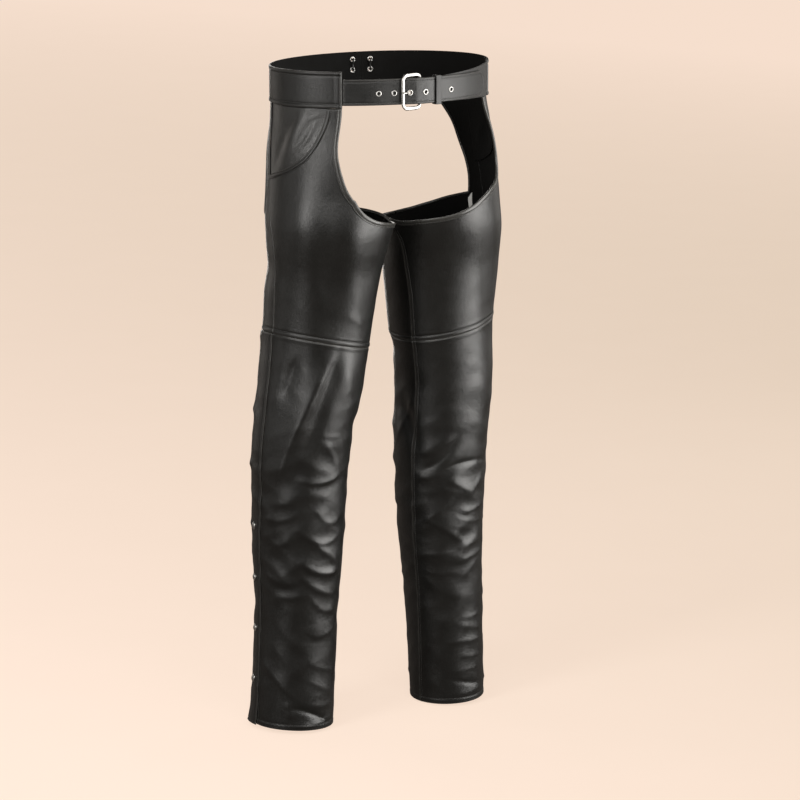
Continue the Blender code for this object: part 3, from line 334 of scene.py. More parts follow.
# the ridges of the crumpling, in millimetres: how they lean, how far apart they are, the
# length of the patches they come in, where they start (side moves it on one leg), how strong
RIPPLES = table(
    "lean length patch start side strength",
    (0.38, 58, 34, 0.5, 1, 1.0),
    (-0.62, 43, 27, 2.1, 0, 0.75),
    (0.12, 27, 20, 4.0, 0, 0.3),
)

# how finely leather is laid out: close together beside a seam or an edge, even elsewhere
GRADES = (0.0, 0.0004, 0.0009, 0.0015, 0.0022, 0.0030, 0.0039, 0.0048, 0.0058, 0.0069,
          0.0082, 0.0100)
FINE = 0.0030
EDGE = 0.0065

# how a seam or an edge shapes the leather beside it: (distance in, lift)
PLAIN_SEAM = ((0, -0.0011), (0.0004, -0.0006), (0.0012, -0.0001), (0.0020, 0.0001), (0.0040, 0))
WELT_SEAM = ((0, -0.0008), (0.0005, 0.0002), (0.0012, 0.0006), (0.0034, 0.0006),
             (0.0044, -0.0002), (0.0056, 0.0001), (0.0075, 0))
KNEE_ABOVE = ((0, -0.0009), (0.0005, 0.0003), (0.0012, 0.0009), (0.0032, 0.0011),
              (0.0055, 0.0009), (0.0068, -0.0005), (0.0078, -0.0003), (0.0095, 0.0003),
              (0.0130, 0))
KNEE_BELOW = ((0, -0.0010), (0.0010, -0.0006), (0.0022, 0.0003), (0.0045, 0.0003), (0.0080, 0))
HEM_EDGE = ((0, -0.0010), (0.0005, -0.0003), (0.0015, 0.0003), (0.0070, 0.0004),
            (0.0088, -0.0006), (0.0100, -0.0001), (0.0130, 0))
MOUTH_EDGE = ((0, -0.0008), (0.0005, 0.0005), (0.0012, 0.0011), (0.0021, 0.0002),
              (0.0030, 0.0009), (0.0058, 0.0011), (0.0072, -0.0005), (0.0088, 0))
BOUND_EDGE = ((0, -0.0003), (0.0020, 0))
BAND_EDGE = ((0, -0.0012), (0.0004, 0.0000), (0.0012, 0.0007), (0.0030, 0.0009),
             (0.0048, 0.0006), (0.0062, -0.0009), (0.0071, -0.0006), (0.0086, 0))
BAND_END = ((0, 0.0000), (0.0005, 0.0012), (0.0014, 0.0018), (0.0026, 0.0014),
            (0.0036, 0.0004), (0.0044, 0.0013), (0.0076, 0.0013), (0.0086, 0.0002),
            (0.0096, -0.0003), (0.0110, 0))
SLIT_EDGE = ((0, -0.0010), (0.0006, -0.0002), (0.0014, 0))
STRAP_EDGE = ((0, -0.0013), (0.0005, -0.0005), (0.0012, 0.0000), (0.0020, 0.0001),
              (0.0030, -0.0001), (0.0036, -0.0006), (0.0043, -0.0005), (0.0052, 0))
FLAP_EDGE = ((0, -0.0009), (0.0005, -0.0002), (0.0012, 0.0001), (0.0035, 0.0001),
             (0.0044, -0.0005), (0.0052, -0.0004), (0.0062, 0))
INSIDE_EDGE = ((0, 0.0004), (0.0006, 0.0001), (0.0012, 0))

# where stitches run, as distances in from an edge
WELT_STITCH = 0.0044
KNEE_STITCH = 0.0068
HEM_STITCH = 0.0088
MOUTH_STITCHES = (0.0022, 0.0072)
BAND_STITCH = 0.0064
BAND_END_STITCH = 0.0036
STRAP_STITCH = 0.0038
FLAP_STITCH = 0.0045
BINDING_STITCH = 0.0049
STITCH_PITCH = 0.0033
STITCH_LENGTH = 0.0026
STITCH_HALF = 0.0005

# how far a thread sinks into a panel, and how far out it lies on shaped edges
THREAD_SUNK = 0.0003
BAND_THREAD = BAND_WALL - 0.0004
BAND_END_THREAD = BAND_WALL + 0.0006
BINDING_THREAD = 0.0024

# how far an edge's shape reaches in, and how wide its pale line of rubbed wear and painted
# highlight is
EDGE_REACH = 0.016
RUB_AND_HIGHLIGHT_WIDTH = 0.0016

# mean radii, where one number is fine enough: the hips, the bound edges, under them, the calf
HIP_RADIUS = 0.13
BOUND_RADIUS = 0.11
UNDER_RADIUS = 0.098
CALF_RADIUS = 0.072
MEAN_ANGLE = 45.0


# ---------------------------------------------------------------- tables and the form

def column(rows, name):
    """One named column of a table, as an array."""
    return np.array([row[name] for row in rows], float)


def running(lengths):
    """How far along its line each point lies, from the lengths of the steps between them."""
    return np.concatenate(([0.0], np.cumsum(lengths)))


def smooth_curve(knots, values):
    """A reader of the curve through the knots, which never overshoots them."""
    step = np.diff(knots)
    slope = np.diff(values) / step
    tangent = np.zeros(len(knots))
    tangent[0], tangent[-1] = slope[0], slope[-1]
    for k in range(1, len(knots) - 1):
        if slope[k - 1] * slope[k] > 0:
            before = 2 * step[k] + step[k - 1]
            after = step[k] + 2 * step[k - 1]
            tangent[k] = (before + after) / (before / slope[k - 1] + after / slope[k])

    def read(x):
        x = np.clip(x, knots[0], knots[-1])
        k = np.clip(np.searchsorted(knots, x) - 1, 0, len(knots) - 2)
        t = (x - knots[k]) / step[k]
        return ((2 * t**3 - 3 * t**2 + 1) * values[k]
                + (t**3 - 2 * t**2 + t) * step[k] * tangent[k]
                + (3 * t**2 - 2 * t**3) * values[k + 1]
                + (t**3 - t**2) * step[k] * tangent[k + 1])
    return read


def reader(rows, key, name):
    """A function that reads one column of a table smoothly along another."""
    order = np.argsort(column(rows, key))
    return smooth_curve(column(rows, key)[order], column(rows, name)[order])


def both_sides(rows, key):
    """A reader for each leg, from a table's columns right and left."""
    return {side: reader(rows, key, tag) for side, tag in TAGS.items()}


SECTION = {
    side: {name: reader(rows, "height", name) for name in FORM_COLUMNS.split()[1:]}
    for side, rows in ((RIGHT, FORM_RIGHT), (LEFT, FORM_LEFT))
}
SCOOP_AT = both_sides(SCOOP, "height")
UNDER_SCOOP_AT = both_sides(UNDER_SCOOP, "angle")
SEAT_SIDE_AT = both_sides(SEAT_SIDE, "height")
UNDER_SEAT_AT = both_sides(UNDER_SEAT, "angle")
MOUTH_AT = both_sides(MOUTH, "height")
OUTER_SEAM = both_sides(SEAMS, "height")
INNER_SEAM = reader(SEAMS, "height", "inner")


def half_sizes(side, height):
    """Half the form's width and half its depth."""
    return SECTION[side]["half_width"](height), SECTION[side]["half_depth"](height)


RING_HALF = {side: float(half_sizes(side, 0.0)[0]) for side in TAGS}
RING_DEPTH = float(half_sizes(RIGHT, 0.0)[1])


def knee_height(angle):
    """The knee seam's height, a little higher outside than inside."""
    return KNEE + KNEE_TILT * np.sin(np.radians(angle))


def hem_height(angle):
    """The hem's height, tilted the same way."""
    return HEM + HEM_TILT * np.sin(np.radians(angle))


def nearest_on(line, x, y):
    """Distance to a line of points, how far along it (0 to 1), and which side (+ is left)."""
    best = np.full(x.shape, 1e9)
    along = np.zeros(x.shape)
    side = np.ones(x.shape)
    steps = np.diff(line, axis=0)
    lengths = np.hypot(steps[:, 0], steps[:, 1])
    reached = running(lengths)
    for k, (step, length) in enumerate(zip(steps, lengths)):
        if length < 1e-9:
            continue
        dx, dy = x - line[k, 0], y - line[k, 1]
        t = np.clip((dx * step[0] + dy * step[1]) / length**2, 0, 1)
        gap = np.hypot(dx - t * step[0], dy - t * step[1])
        closer = gap < best
        best = np.where(closer, gap, best)
        along = np.where(closer, (reached[k] + t * length) / reached[-1], along)
        side = np.where(closer, np.sign(step[0] * dy - step[1] * dx), side)
    return best, along, side


def near_turn(angle, middle):
    """The same angle, as the turn of it that lies nearest to a middle one."""
    return (angle - middle + 180.0) % 360.0 - 180.0 + middle


def soft_fold(s, t, fold):
    """A soft fold's height at places s along the level line from its middle and t up."""
    turn = math.radians(fold["slope"])
    along = s * math.cos(turn) + t * math.sin(turn)
    across = t * math.cos(turn) - s * math.sin(turn)
    return fold["rise"] * np.exp(-(along / fold["half_length"])**2
                                 - (across / fold["half_width"])**2)


def fold_rise(side, angle, height):
    """How far the broad folds lift or sink the leather."""
    total = np.zeros(np.shape(angle))
    for fold in FOLDS:
        if fold["side"] == side:
            s = np.radians(near_turn(angle, fold["angle"]) - fold["angle"]) * FOLD_RADIUS
            total += soft_fold(s, height - fold["height"], fold)
    return total


def folded(away):
    """A crease's section: a tight crest with hollow flanks that run out level."""
    return np.exp(CREST - np.sqrt((FLANK * away)**2 + CREST**2))


def crease_rise(side, angle, height):
    """How far the creases lift or sink it: broad above, narrow below, fading at the ends."""
    total = np.zeros(np.shape(angle))
    share = np.linspace(0, 1, CREASE_STEPS)
    weights = np.stack([(1 - share) * (1 - 2 * share), 4 * share * (1 - share),
                        share * (2 * share - 1)], axis=1)
    for crease in CREASES:
        if crease["side"] != side:
            continue
        angles = np.array([crease[f"angle_{place}"] for place in (1, 2, 3)], float)
        heights = np.array([crease[f"height_{place}"] for place in (1, 2, 3)], float) / 1000
        rise, above, below = (crease[name] / 1000 for name in ("rise", "above", "below"))
        line = np.stack([weights @ np.radians(angles) * FOLD_RADIUS, weights @ heights], axis=1)
        if line[-1, 0] < line[0, 0]:
            line = line[::-1]
        arc = np.radians(near_turn(angle, angles[1])) * FOLD_RADIUS
        reach = 3 * max(above, below)
        close = ((arc > line[:, 0].min() - reach) & (arc < line[:, 0].max() + reach)
                 & (height > line[:, 1].min() - reach) & (height < line[:, 1].max() + reach))
        if not close.any():
            continue
        gap, along, way = nearest_on(line, arc[close], height[close])
        width = np.where(way > 0, above, below)
        ends = np.clip(np.minimum(along, 1 - along) / CREASE_FADE, 0, 1)
        ends = ends * ends * (3 - 2 * ends)
        total[close] += rise * ends * folded(gap / width)
    return total


def ripple(x, y, lean, length, patch, start):
    """Tight ridges across the leg that lean a little and come and go in patches (mm)."""
    turn = np.pi * (y + lean * x + 5 * np.sin(x / 19 + start)) / length + start / 2
    wave = 1.2 - 2.4 * np.sqrt(np.sin(turn)**2 + 0.03)
    come = np.sin(x / patch + 0.6 * start + y / 70) * np.sin((y - 0.5 * x) / (1.3 * patch) + start)
    return wave * np.clip(0.35 + come, 0, 1)


def wander(side, angle, height):
    """The crumpling of worn leather: most at mid calf, little on the thigh and at the hem."""
    x, y = np.radians(angle) * FOLD_RADIUS * 1000 + 40 * side, height * 1000
    rough = np.interp(height, CRUMPLE_HEIGHTS, CRUMPLE)
    bend = 9 * np.sin(y / 31 + 0.7 * side) + 7 * np.sin(x / 23)
    total = 0.0
    for row in RIPPLES:
        start = row["start"] + row["side"] * side
        total = total + row["strength"] * ripple(x, y, row["lean"], row["length"],
                                                 row["patch"], start)
    total = total + 0.5 * (np.sin((x + bend) / 13) * np.sin((y - bend) / 17 + 1.3))
    return 0.001 * rough * total


def relief(side, angle, height):
    """All that lifts or sinks a leg's leather: broad folds, creases and crumpling."""
    return (fold_rise(side, angle, height) + crease_rise(side, angle, height)
            + wander(side, angle, height))


def on_form(side, angle, height, out):
    """Places on the form, moved outward: out holds the folds too."""
    centre_out, centre_back, half_width, half_depth = (
        read(height) for read in SECTION[side].values())
    turn = np.radians(angle)
    return np.stack([side * (centre_out + (half_width + out) * np.sin(turn)),
                     centre_back - (half_depth + out) * np.cos(turn),
                     height + 0.0 * turn], axis=-1)


def radius_at(side, angle, height):
    """Metres that a turn of one radian covers round the form."""
    half_width, half_depth = half_sizes(side, height)
    turn = np.radians(angle)
    return np.hypot(half_width * np.cos(turn), half_depth * np.sin(turn))


def degrees_of(side, height, length):
    """The angle that a length covers round the form, about."""
    half_width, half_depth = half_sizes(side, height)
    return np.degrees(length / np.sqrt(half_width * half_depth))


def ring(angle, height, out):
    """A place on the waist ring, which both halves of the band and the belt share."""
    turn = np.radians(angle)
    half_width = np.where(np.sin(turn) > 0, RING_HALF[RIGHT], RING_HALF[LEFT])
    return np.stack([-(half_width + out) * np.sin(turn), -(RING_DEPTH + out) * np.cos(turn),
                     height + 0.0 * turn], axis=-1)


def ring_radius(angle, height):
    """Metres that a turn of one radian covers on the waist ring."""
    turn = np.radians(angle)
    half_width = np.where(np.sin(turn) > 0, RING_HALF[RIGHT], RING_HALF[LEFT])
    return np.hypot(half_width * np.cos(turn), RING_DEPTH * np.sin(turn)) + 0.0 * height


def ring_spot(angle, height, out):
    """One place on the waist ring, as a vector."""
    return Vector(ring(np.array(angle), height, out))


def ring_degrees(angle, length):
    """The angle that a length covers on the ring at an angle."""
    return math.degrees(length / float(ring_radius(angle, 0.0)))


# ---------------------------------------------------------------- laying leather out

def spread(width, middle, start=GRADES, end=GRADES):
    """Shares of a width, close together beside its two edges. width may be an array."""
    width = np.asarray(width, float)[..., None]
    start, end = np.array(start), np.array(end)
    fit = np.minimum(1.0, 0.42 * width / max(start[-1], end[-1], 1e-6))
    first, last = start * fit, width - end[::-1] * fit
    between = np.arange(1, middle) / middle
    inner = first[..., -1:] + (last[..., :1] - first[..., -1:]) * between
    return np.concatenate([first, inner, last], axis=-1) / width


def even_steps(length_at, low, high, step):
    """Values from low to high at which a length that grows with them gains about one step."""
    fine = np.linspace(low, high, 400)
    length = length_at(fine)
    count = max(2, int(round(length[-1] / step)))
    return np.interp(np.linspace(0, length[-1], count + 1), length, fine)


def quads(rows, columns, start=0):
    """The faces of a lattice whose vertices are numbered row by row."""
    index = start + np.arange(rows * columns).reshape(rows, columns)
    return np.stack([index[:-1, :-1], index[:-1, 1:], index[1:, 1:], index[1:, :-1]],
                    axis=-1).reshape(-1, 4)


def edge_lift(angle, height, radius, edges):
    """The lift beside the edges, each a line of (angle, height) with its profile."""
    total = np.zeros(np.shape(angle))
    near = np.full(np.shape(angle), 1.0)
    for line, profile in edges:
        distance = distance_to(line, angle, height, radius)
        near = np.minimum(near, distance)
        reach, lift = np.array(profile).T
        total += np.interp(distance, reach, lift)
    return total, near


def distance_to(line, angle, height, radius):
    """Metres on the leather from each place to a line of (angle, height)."""
    angle, height, radius = np.ravel(angle), np.ravel(height), np.ravel(radius)
    best = np.full(angle.shape, 1.0)
    turn = np.radians(angle)
    for (a1, h1), (a2, h2) in zip(line[:-1], line[1:]):
        a1, a2 = math.radians(a1), math.radians(a2)
        low_a, high_a = min(a1, a2), max(a1, a2)
        pick = np.nonzero((height > min(h1, h2) - EDGE_REACH)
                          & (height < max(h1, h2) + EDGE_REACH)
                          & ((turn - high_a) * radius < EDGE_REACH)
                          & ((low_a - turn) * radius < EDGE_REACH))[0]
        if not len(pick):
            continue
        r = radius[pick]
        dx, dy = (turn[pick] - a1) * r, height[pick] - h1
        sx, sy = (a2 - a1) * r, h2 - h1
        t = np.clip((dx * sx + dy * sy) / np.maximum(sx**2 + sy**2, 1e-14), 0, 1)
        best[pick] = np.minimum(best[pick], np.hypot(dx - t * sx, dy - t * sy))
    return best


def mesh_object(name, points, faces, materials, face_slots=None, attributes=None):
    """An object from points and faces, smooth, at the origin."""
    mesh = bpy.data.meshes.new(name)
    mesh.from_pydata([tuple(p) for p in points], [], [tuple(f) for f in faces])
    mesh.validate()
    for finish in materials:
        mesh.materials.append(finish)
    if face_slots is not None:
        mesh.polygons.foreach_set("material_index", np.asarray(face_slots, np.int32))
    mesh.shade_smooth()
    for label, values in (attributes or {}).items():
        layer = mesh.attributes.new(label, "FLOAT", "POINT")
        layer.data.foreach_set("value", np.asarray(values, np.float32))
    made = bpy.data.objects.new(name, mesh)
    bpy.context.scene.collection.objects.link(made)
    return made


def shell(name, angle, height, faces, place, lift, inner, outer, edges, radius, materials,
          inside_edges=()):
    """A closed wall of leather over a lattice, shaped beside its edges."""
    rise, near = edge_lift(angle, height, radius, edges)
    under, _ = edge_lift(angle, height, radius, [(line, INSIDE_EDGE) for line in inside_edges])
    top = place(angle, height, lift + outer + rise)
    low = place(angle, height, lift + inner + under)
    count = len(angle)
    around = np.concatenate([faces[:, [k, (k + 1) % 4]] for k in range(4)])
    key = np.sort(around, axis=1)
    _, first, seen = np.unique(key, axis=0, return_index=True, return_counts=True)
    rim = around[first[seen == 1]]
    walls = np.stack([rim[:, 1], rim[:, 0], rim[:, 0] + count, rim[:, 1] + count], axis=1)
    every = np.concatenate([faces, faces[:, ::-1] + count, walls])
    points = np.concatenate([top, low])
    normal = np.cross(top[faces[:, 2]] - top[faces[:, 0]], top[faces[:, 3]] - top[faces[:, 1]])
    if np.sum(normal * (top[faces[:, 0]] - low[faces[:, 0]])) < 0:
        every = every[:, ::-1]
    slots = np.concatenate([np.zeros(len(faces)), np.ones(len(faces)), np.zeros(len(walls))])
    # a pale line along each edge: partly rubbed wear, partly a painted highlight on the rolled
    # edge
    rub_and_highlight = np.concatenate([np.exp(-(near / RUB_AND_HIGHLIGHT_WIDTH)**2), np.zeros(count)])
    return mesh_object(name, points, every, materials, slots, {"rub_and_highlight": rub_and_highlight})


def only(piece):
    """Selects one object alone and makes it the active one."""
    bpy.ops.object.select_all(action="DESELECT")
    piece.select_set(True)
    bpy.context.view_layer.objects.active = piece


def pick_points(piece, wanted):
    """Selects the points that a test wants, and goes into edit mode."""
    only(piece)
    bpy.ops.object.mode_set(mode="EDIT")
    bpy.ops.mesh.select_mode(type="VERT")
    bpy.ops.mesh.select_all(action="DESELECT")
    bpy.ops.object.mode_set(mode="OBJECT")
    for point in piece.data.vertices:
        point.select = wanted(point.co)
    bpy.ops.object.mode_set(mode="EDIT")


# ---------------------------------------------------------------- finishes

def group_of(name, outputs, given):
    """A node group of float sockets. Returns it, its input node and its output node."""
    group = bpy.data.node_groups.new(name, "ShaderNodeTree")
    group.interface.new_socket(given, in_out="INPUT", socket_type="NodeSocketFloat")
    for label in outputs:
        group.interface.new_socket(label, in_out="OUTPUT", socket_type="NodeSocketFloat")
    return group, group.nodes.new("NodeGroupInput"), group.nodes.new("NodeGroupOutput")


def add_node(tree, kind, **settings):
    """A node with its settings: a socket's name sets its value, any other name a property."""
    made = tree.nodes.new(f"ShaderNode{kind}")
    for label, value in settings.items():
        if label not in made.inputs:
            setattr(made, label, value)
    for label, value in settings.items():
        if label in made.inputs:
            made.inputs[label].default_value = value
    return made


def texture(tree, kind, vector=None, **settings):
    """A texture's value, on the piece's own coordinates or on another vector."""
    made = add_node(tree, f"Tex{kind}", **settings)
    if vector is None:
        vector = add_node(tree, "TexCoord").outputs["Object"]
    tree.links.new(vector, made.inputs["Vector"])
    return made.outputs["Distance" if kind == "Voronoi" else "Fac"]


def maths(tree, operation, first, second, clamp=False):
    """A math node on two sockets, or on a socket and a number. Returns its output."""
    made = add_node(tree, "Math", operation=operation, use_clamp=clamp)
    for socket, value in zip(made.inputs, (first, second)):
        if hasattr(value, "links"):
            tree.links.new(value, socket)
        else:
            socket.default_value = value
    return made.outputs[0]


def mapped(tree, value, low, high, to_low, to_high):
    """A value moved from one range to another. Returns its output."""
    ranged = add_node(tree, "MapRange", **{"From Min": low, "From Max": high,
                                           "To Min": to_low, "To Max": to_high})
    tree.links.new(value, ranged.inputs["Value"])
    return ranged.outputs["Result"]


def blend_colours(tree, factor, first, second):
    """A colour between two. Returns its output."""
    mixed = add_node(tree, "Mix", data_type="RGBA", A=(*first, 1.0), B=(*second, 1.0))
    tree.links.new(factor, mixed.inputs["Factor"])
    return mixed.outputs["Result"]


def leather_grain():
    """Fine pebbled grain with softer and broader wrinkling as a height, and a mottle."""
    group, given, result = group_of("leather grain", ("Height", "Mottle"), "Scale")
    sized = add_node(group, "VectorMath", operation="SCALE")
    group.links.new(add_node(group, "TexCoord").outputs["Object"], sized.inputs[0])
    group.links.new(given.outputs["Scale"], sized.inputs["Scale"])
    place = sized.outputs[0]
    pebble = texture(group, "Voronoi", place, feature="DISTANCE_TO_EDGE", Scale=820.0)
    warp = texture(group, "Noise", place, Scale=150.0, Detail=4.0, Roughness=0.6)
    broad = texture(group, "Noise", place, Scale=34.0, Detail=4.0, Roughness=0.55)
    height = maths(group, "MULTIPLY", maths(group, "MINIMUM", pebble, 0.22), 2.2)
    for wrinkle, weight in ((warp, 3.0), (broad, 2.6)):
        height = maths(group, "ADD", height, maths(group, "MULTIPLY", wrinkle, weight))
    group.links.new(height, result.inputs["Height"])
    group.links.new(broad, result.inputs["Mottle"])
    return group


def rub_and_edge_highlight():
    """Where an edge turns paler, partly rubbed wear and partly a painted highlight: the piece's
    own edge mask, broken up.
    """
    group, given, result = group_of("rub and edge highlight", ("Rub and highlight",), "Amount")
    mask = add_node(group, "Attribute", attribute_name="rub_and_highlight").outputs["Fac"]
    broken = maths(group, "MULTIPLY", mask, texture(group, "Noise", Scale=95.0, Detail=3.0))
    group.links.new(maths(group, "MULTIPLY", broken, given.outputs["Amount"], clamp=True),
                    result.inputs["Rub and highlight"])
    return group


GRAIN = leather_grain()
RUB_AND_EDGE_HIGHLIGHT = rub_and_edge_highlight()
# the colour of an edge's pale line: partly rubbed wear, partly a painted highlight
RUB_AND_HIGHLIGHT_COLOUR = (0.055, 0.053, 0.048)


def new_finish(name, specular=0.5, metallic=0.0):
    """A material, its node tree and its shader."""
    made = bpy.data.materials.new(name)
    made.use_nodes = True
    shader = made.node_tree.nodes["Principled BSDF"]
    shader.inputs["Specular IOR Level"].default_value = specular
    shader.inputs["Metallic"].default_value = metallic
    return made, made.node_tree, shader


def surfaced(tree, shader, colour, roughness, height, strength, distance):
    """Feeds a shader its colour, its roughness and its bump."""
    tree.links.new(colour, shader.inputs["Base Color"])
    tree.links.new(roughness, shader.inputs["Roughness"])
    bump = add_node(tree, "Bump", Strength=strength, Distance=distance)
    tree.links.new(height, bump.inputs["Height"])
    tree.links.new(bump.outputs["Normal"], shader.inputs["Normal"])


def leather_finish(name, dark, pale, smooth, rough, grain, specular=0.5, scale=1.0):
    """Dyed leather with grain and mottling, and a paler line along its edges, partly rubbed wear
    and partly a painted highlight.
    """
    made, tree, shader = new_finish(name, specular)
    surface = add_node(tree, "Group", node_tree=GRAIN)
    surface.inputs["Scale"].default_value = scale
    edge = add_node(tree, "Group", node_tree=RUB_AND_EDGE_HIGHLIGHT)
    edge.inputs["Amount"].default_value = 1.0
    mottle = surface.outputs["Mottle"]
    # the edges turn pale: partly rubbed wear, partly a painted highlight
    worn = blend_colours(tree, edge.outputs["Rub and highlight"], dark, RUB_AND_HIGHLIGHT_COLOUR)
    tree.links.new(blend_colours(tree, mottle, dark, pale), worn.node.inputs["A"])
    surfaced(tree, shader, worn, mapped(tree, mottle, 0.25, 0.75, smooth, rough),
             surface.outputs["Height"], grain, 0.00022)
    return made


def flesh_finish_with_painted_shade():
    """The unfinished inside of the leather: dull, dark and slightly fibrous, its colour made
    darker still as painted shade on the inside of the chaps.
    """
    made, tree, shader = new_finish("black suede inside with painted shade", specular=0.12)
    fibre = texture(tree, "Noise", Scale=1400.0, Detail=2.0)
    cloud = texture(tree, "Noise", Scale=60.0, Detail=4.0)
    # painted shade: the inside's colour is darker than the black leather outside
    colour = blend_colours(tree, cloud, (0.0018, 0.0017, 0.0015), (0.0040, 0.0037, 0.0033))
    surfaced(tree, shader, colour, mapped(tree, cloud, 0.3, 0.7, 0.82, 0.95), fibre, 0.5, 0.0002)
    return made


def metal_finish(name, dark, pale, smooth, rough):
    """Plating with faint scuffs."""
    made, tree, shader = new_finish(name, metallic=1.0)
    scuff = texture(tree, "Noise", Scale=420.0, Detail=4.0, Roughness=0.7)
    cloud = texture(tree, "Noise", Scale=70.0, Detail=2.0)
    surfaced(tree, shader, blend_colours(tree, cloud, dark, pale),
             mapped(tree, scuff, 0.3, 0.7, smooth, rough), scuff, 0.12, 0.00005)
    return made


def tape_finish():
    """White woven tape."""
    made, tree, shader = new_finish("white woven tape")
    weave = maths(tree, "MULTIPLY", *(texture(tree, "Wave", bands_direction=way, Scale=620.0)
                                      for way in "XZ"))
    colour = blend_colours(tree, weave, (0.66, 0.65, 0.62), (0.84, 0.83, 0.80))
    surfaced(tree, shader, colour, mapped(tree, weave, 0.0, 1.0, 0.9, 0.75), weave, 0.4, 0.0002)
    return made


def thread_finish():
    """Waxed black thread, its twisted ply as fine bands, the pale ones lightened as painted glints
    on the stitches.
    """
    made, tree, shader = new_finish("waxed black thread with painted glints")
    twist_and_glint = texture(tree, "Wave", bands_direction="DIAGONAL", Scale=900.0)
    # pale bands: the thread's ply, lightened as painted glints on the stitches
    colour = blend_colours(tree, twist_and_glint, (0.006, 0.006, 0.006), (0.050, 0.048, 0.044))
    surfaced(tree, shader, colour, mapped(tree, twist_and_glint, 0.0, 1.0, 0.6, 0.45), twist_and_glint, 0.4, 0.0001)
    return made


BLACK_LEATHER = leather_finish("black leather", (0.0022, 0.0022, 0.0019), (0.0060, 0.0059, 0.0052),
                               0.31, 0.41, 0.45)
# the binding's black leather is given a paler colour than the panels': a painted highlight along
# the bound edges
BOUND_LEATHER_PAINTED_HIGHLIGHT = leather_finish("black edge binding with painted highlight", (0.012, 0.0118, 0.0105),
                               (0.030, 0.029, 0.0265), 0.24, 0.34, 0.2)
BELT_LEATHER = leather_finish("black belt leather", (0.0032, 0.0032, 0.0028),
                              (0.0075, 0.0073, 0.0066), 0.35, 0.45, 0.45,
                              specular=0.42, scale=1.25)
# the facing's grained leather is paler than the panels': a painted sheen on the pocket facing
POCKET_LEATHER_PAINTED_SHEEN = leather_finish("grained pocket leather with painted sheen", (0.004, 0.004, 0.0035),
                                (0.010, 0.0098, 0.0088), 0.30, 0.42, 0.8, specular=0.65,
                                scale=0.8)
SUEDE_WITH_PAINTED_SHADE = flesh_finish_with_painted_shade()
PLATING = metal_finish("polished plating", (0.34, 0.33, 0.315), (0.48, 0.47, 0.45), 0.30, 0.40)
SATIN_PLATING = metal_finish("satin plating", (0.50, 0.49, 0.47), (0.70, 0.69, 0.67),
                             0.30, 0.42)
TAPE = tape_finish()
THREAD = thread_finish()


# ---------------------------------------------------------------- leg panels

CALF_STEP = 0.0027
STRIP_STEP = 0.0025


def seam_pair(side, front):
    """The near and far seams of a front or a back panel, half a gap in from each."""
    inset = degrees_of(side, -0.3, HALF_GAP)
    outer = OUTER_SEAM[side]
    if front:
        return lambda h: outer(h) - inset, lambda h: INNER_SEAM(h) + inset
    return lambda h: outer(h) + inset, lambda h: 360 + INNER_SEAM(h) - inset


def calf_lattice(side, front):
    """The lower panel between the knee seam and the hem: angles and heights, row by row."""
    near, far = seam_pair(side, front)
    down = spread(KNEE - HEM, int((KNEE - HEM) / CALF_STEP))
    level = KNEE + (HEM - KNEE) * down
    width = np.radians(np.abs(far(level) - near(level))) * radius_at(side, MEAN_ANGLE, level)
    share = spread(width, int(width.max() / FINE) - 4)
    top, low = np.full(share.shape[1], KNEE), np.full(share.shape[1], HEM)
    for _ in range(6):
        top = knee_height(near(top) + (far(top) - near(top)) * share[0]) - HALF_GAP
        low = hem_height(near(low) + (far(low) - near(low)) * share[-1])
    height = top + (low - top) * down[:, None]
    return near(height) + (far(height) - near(height)) * share, height


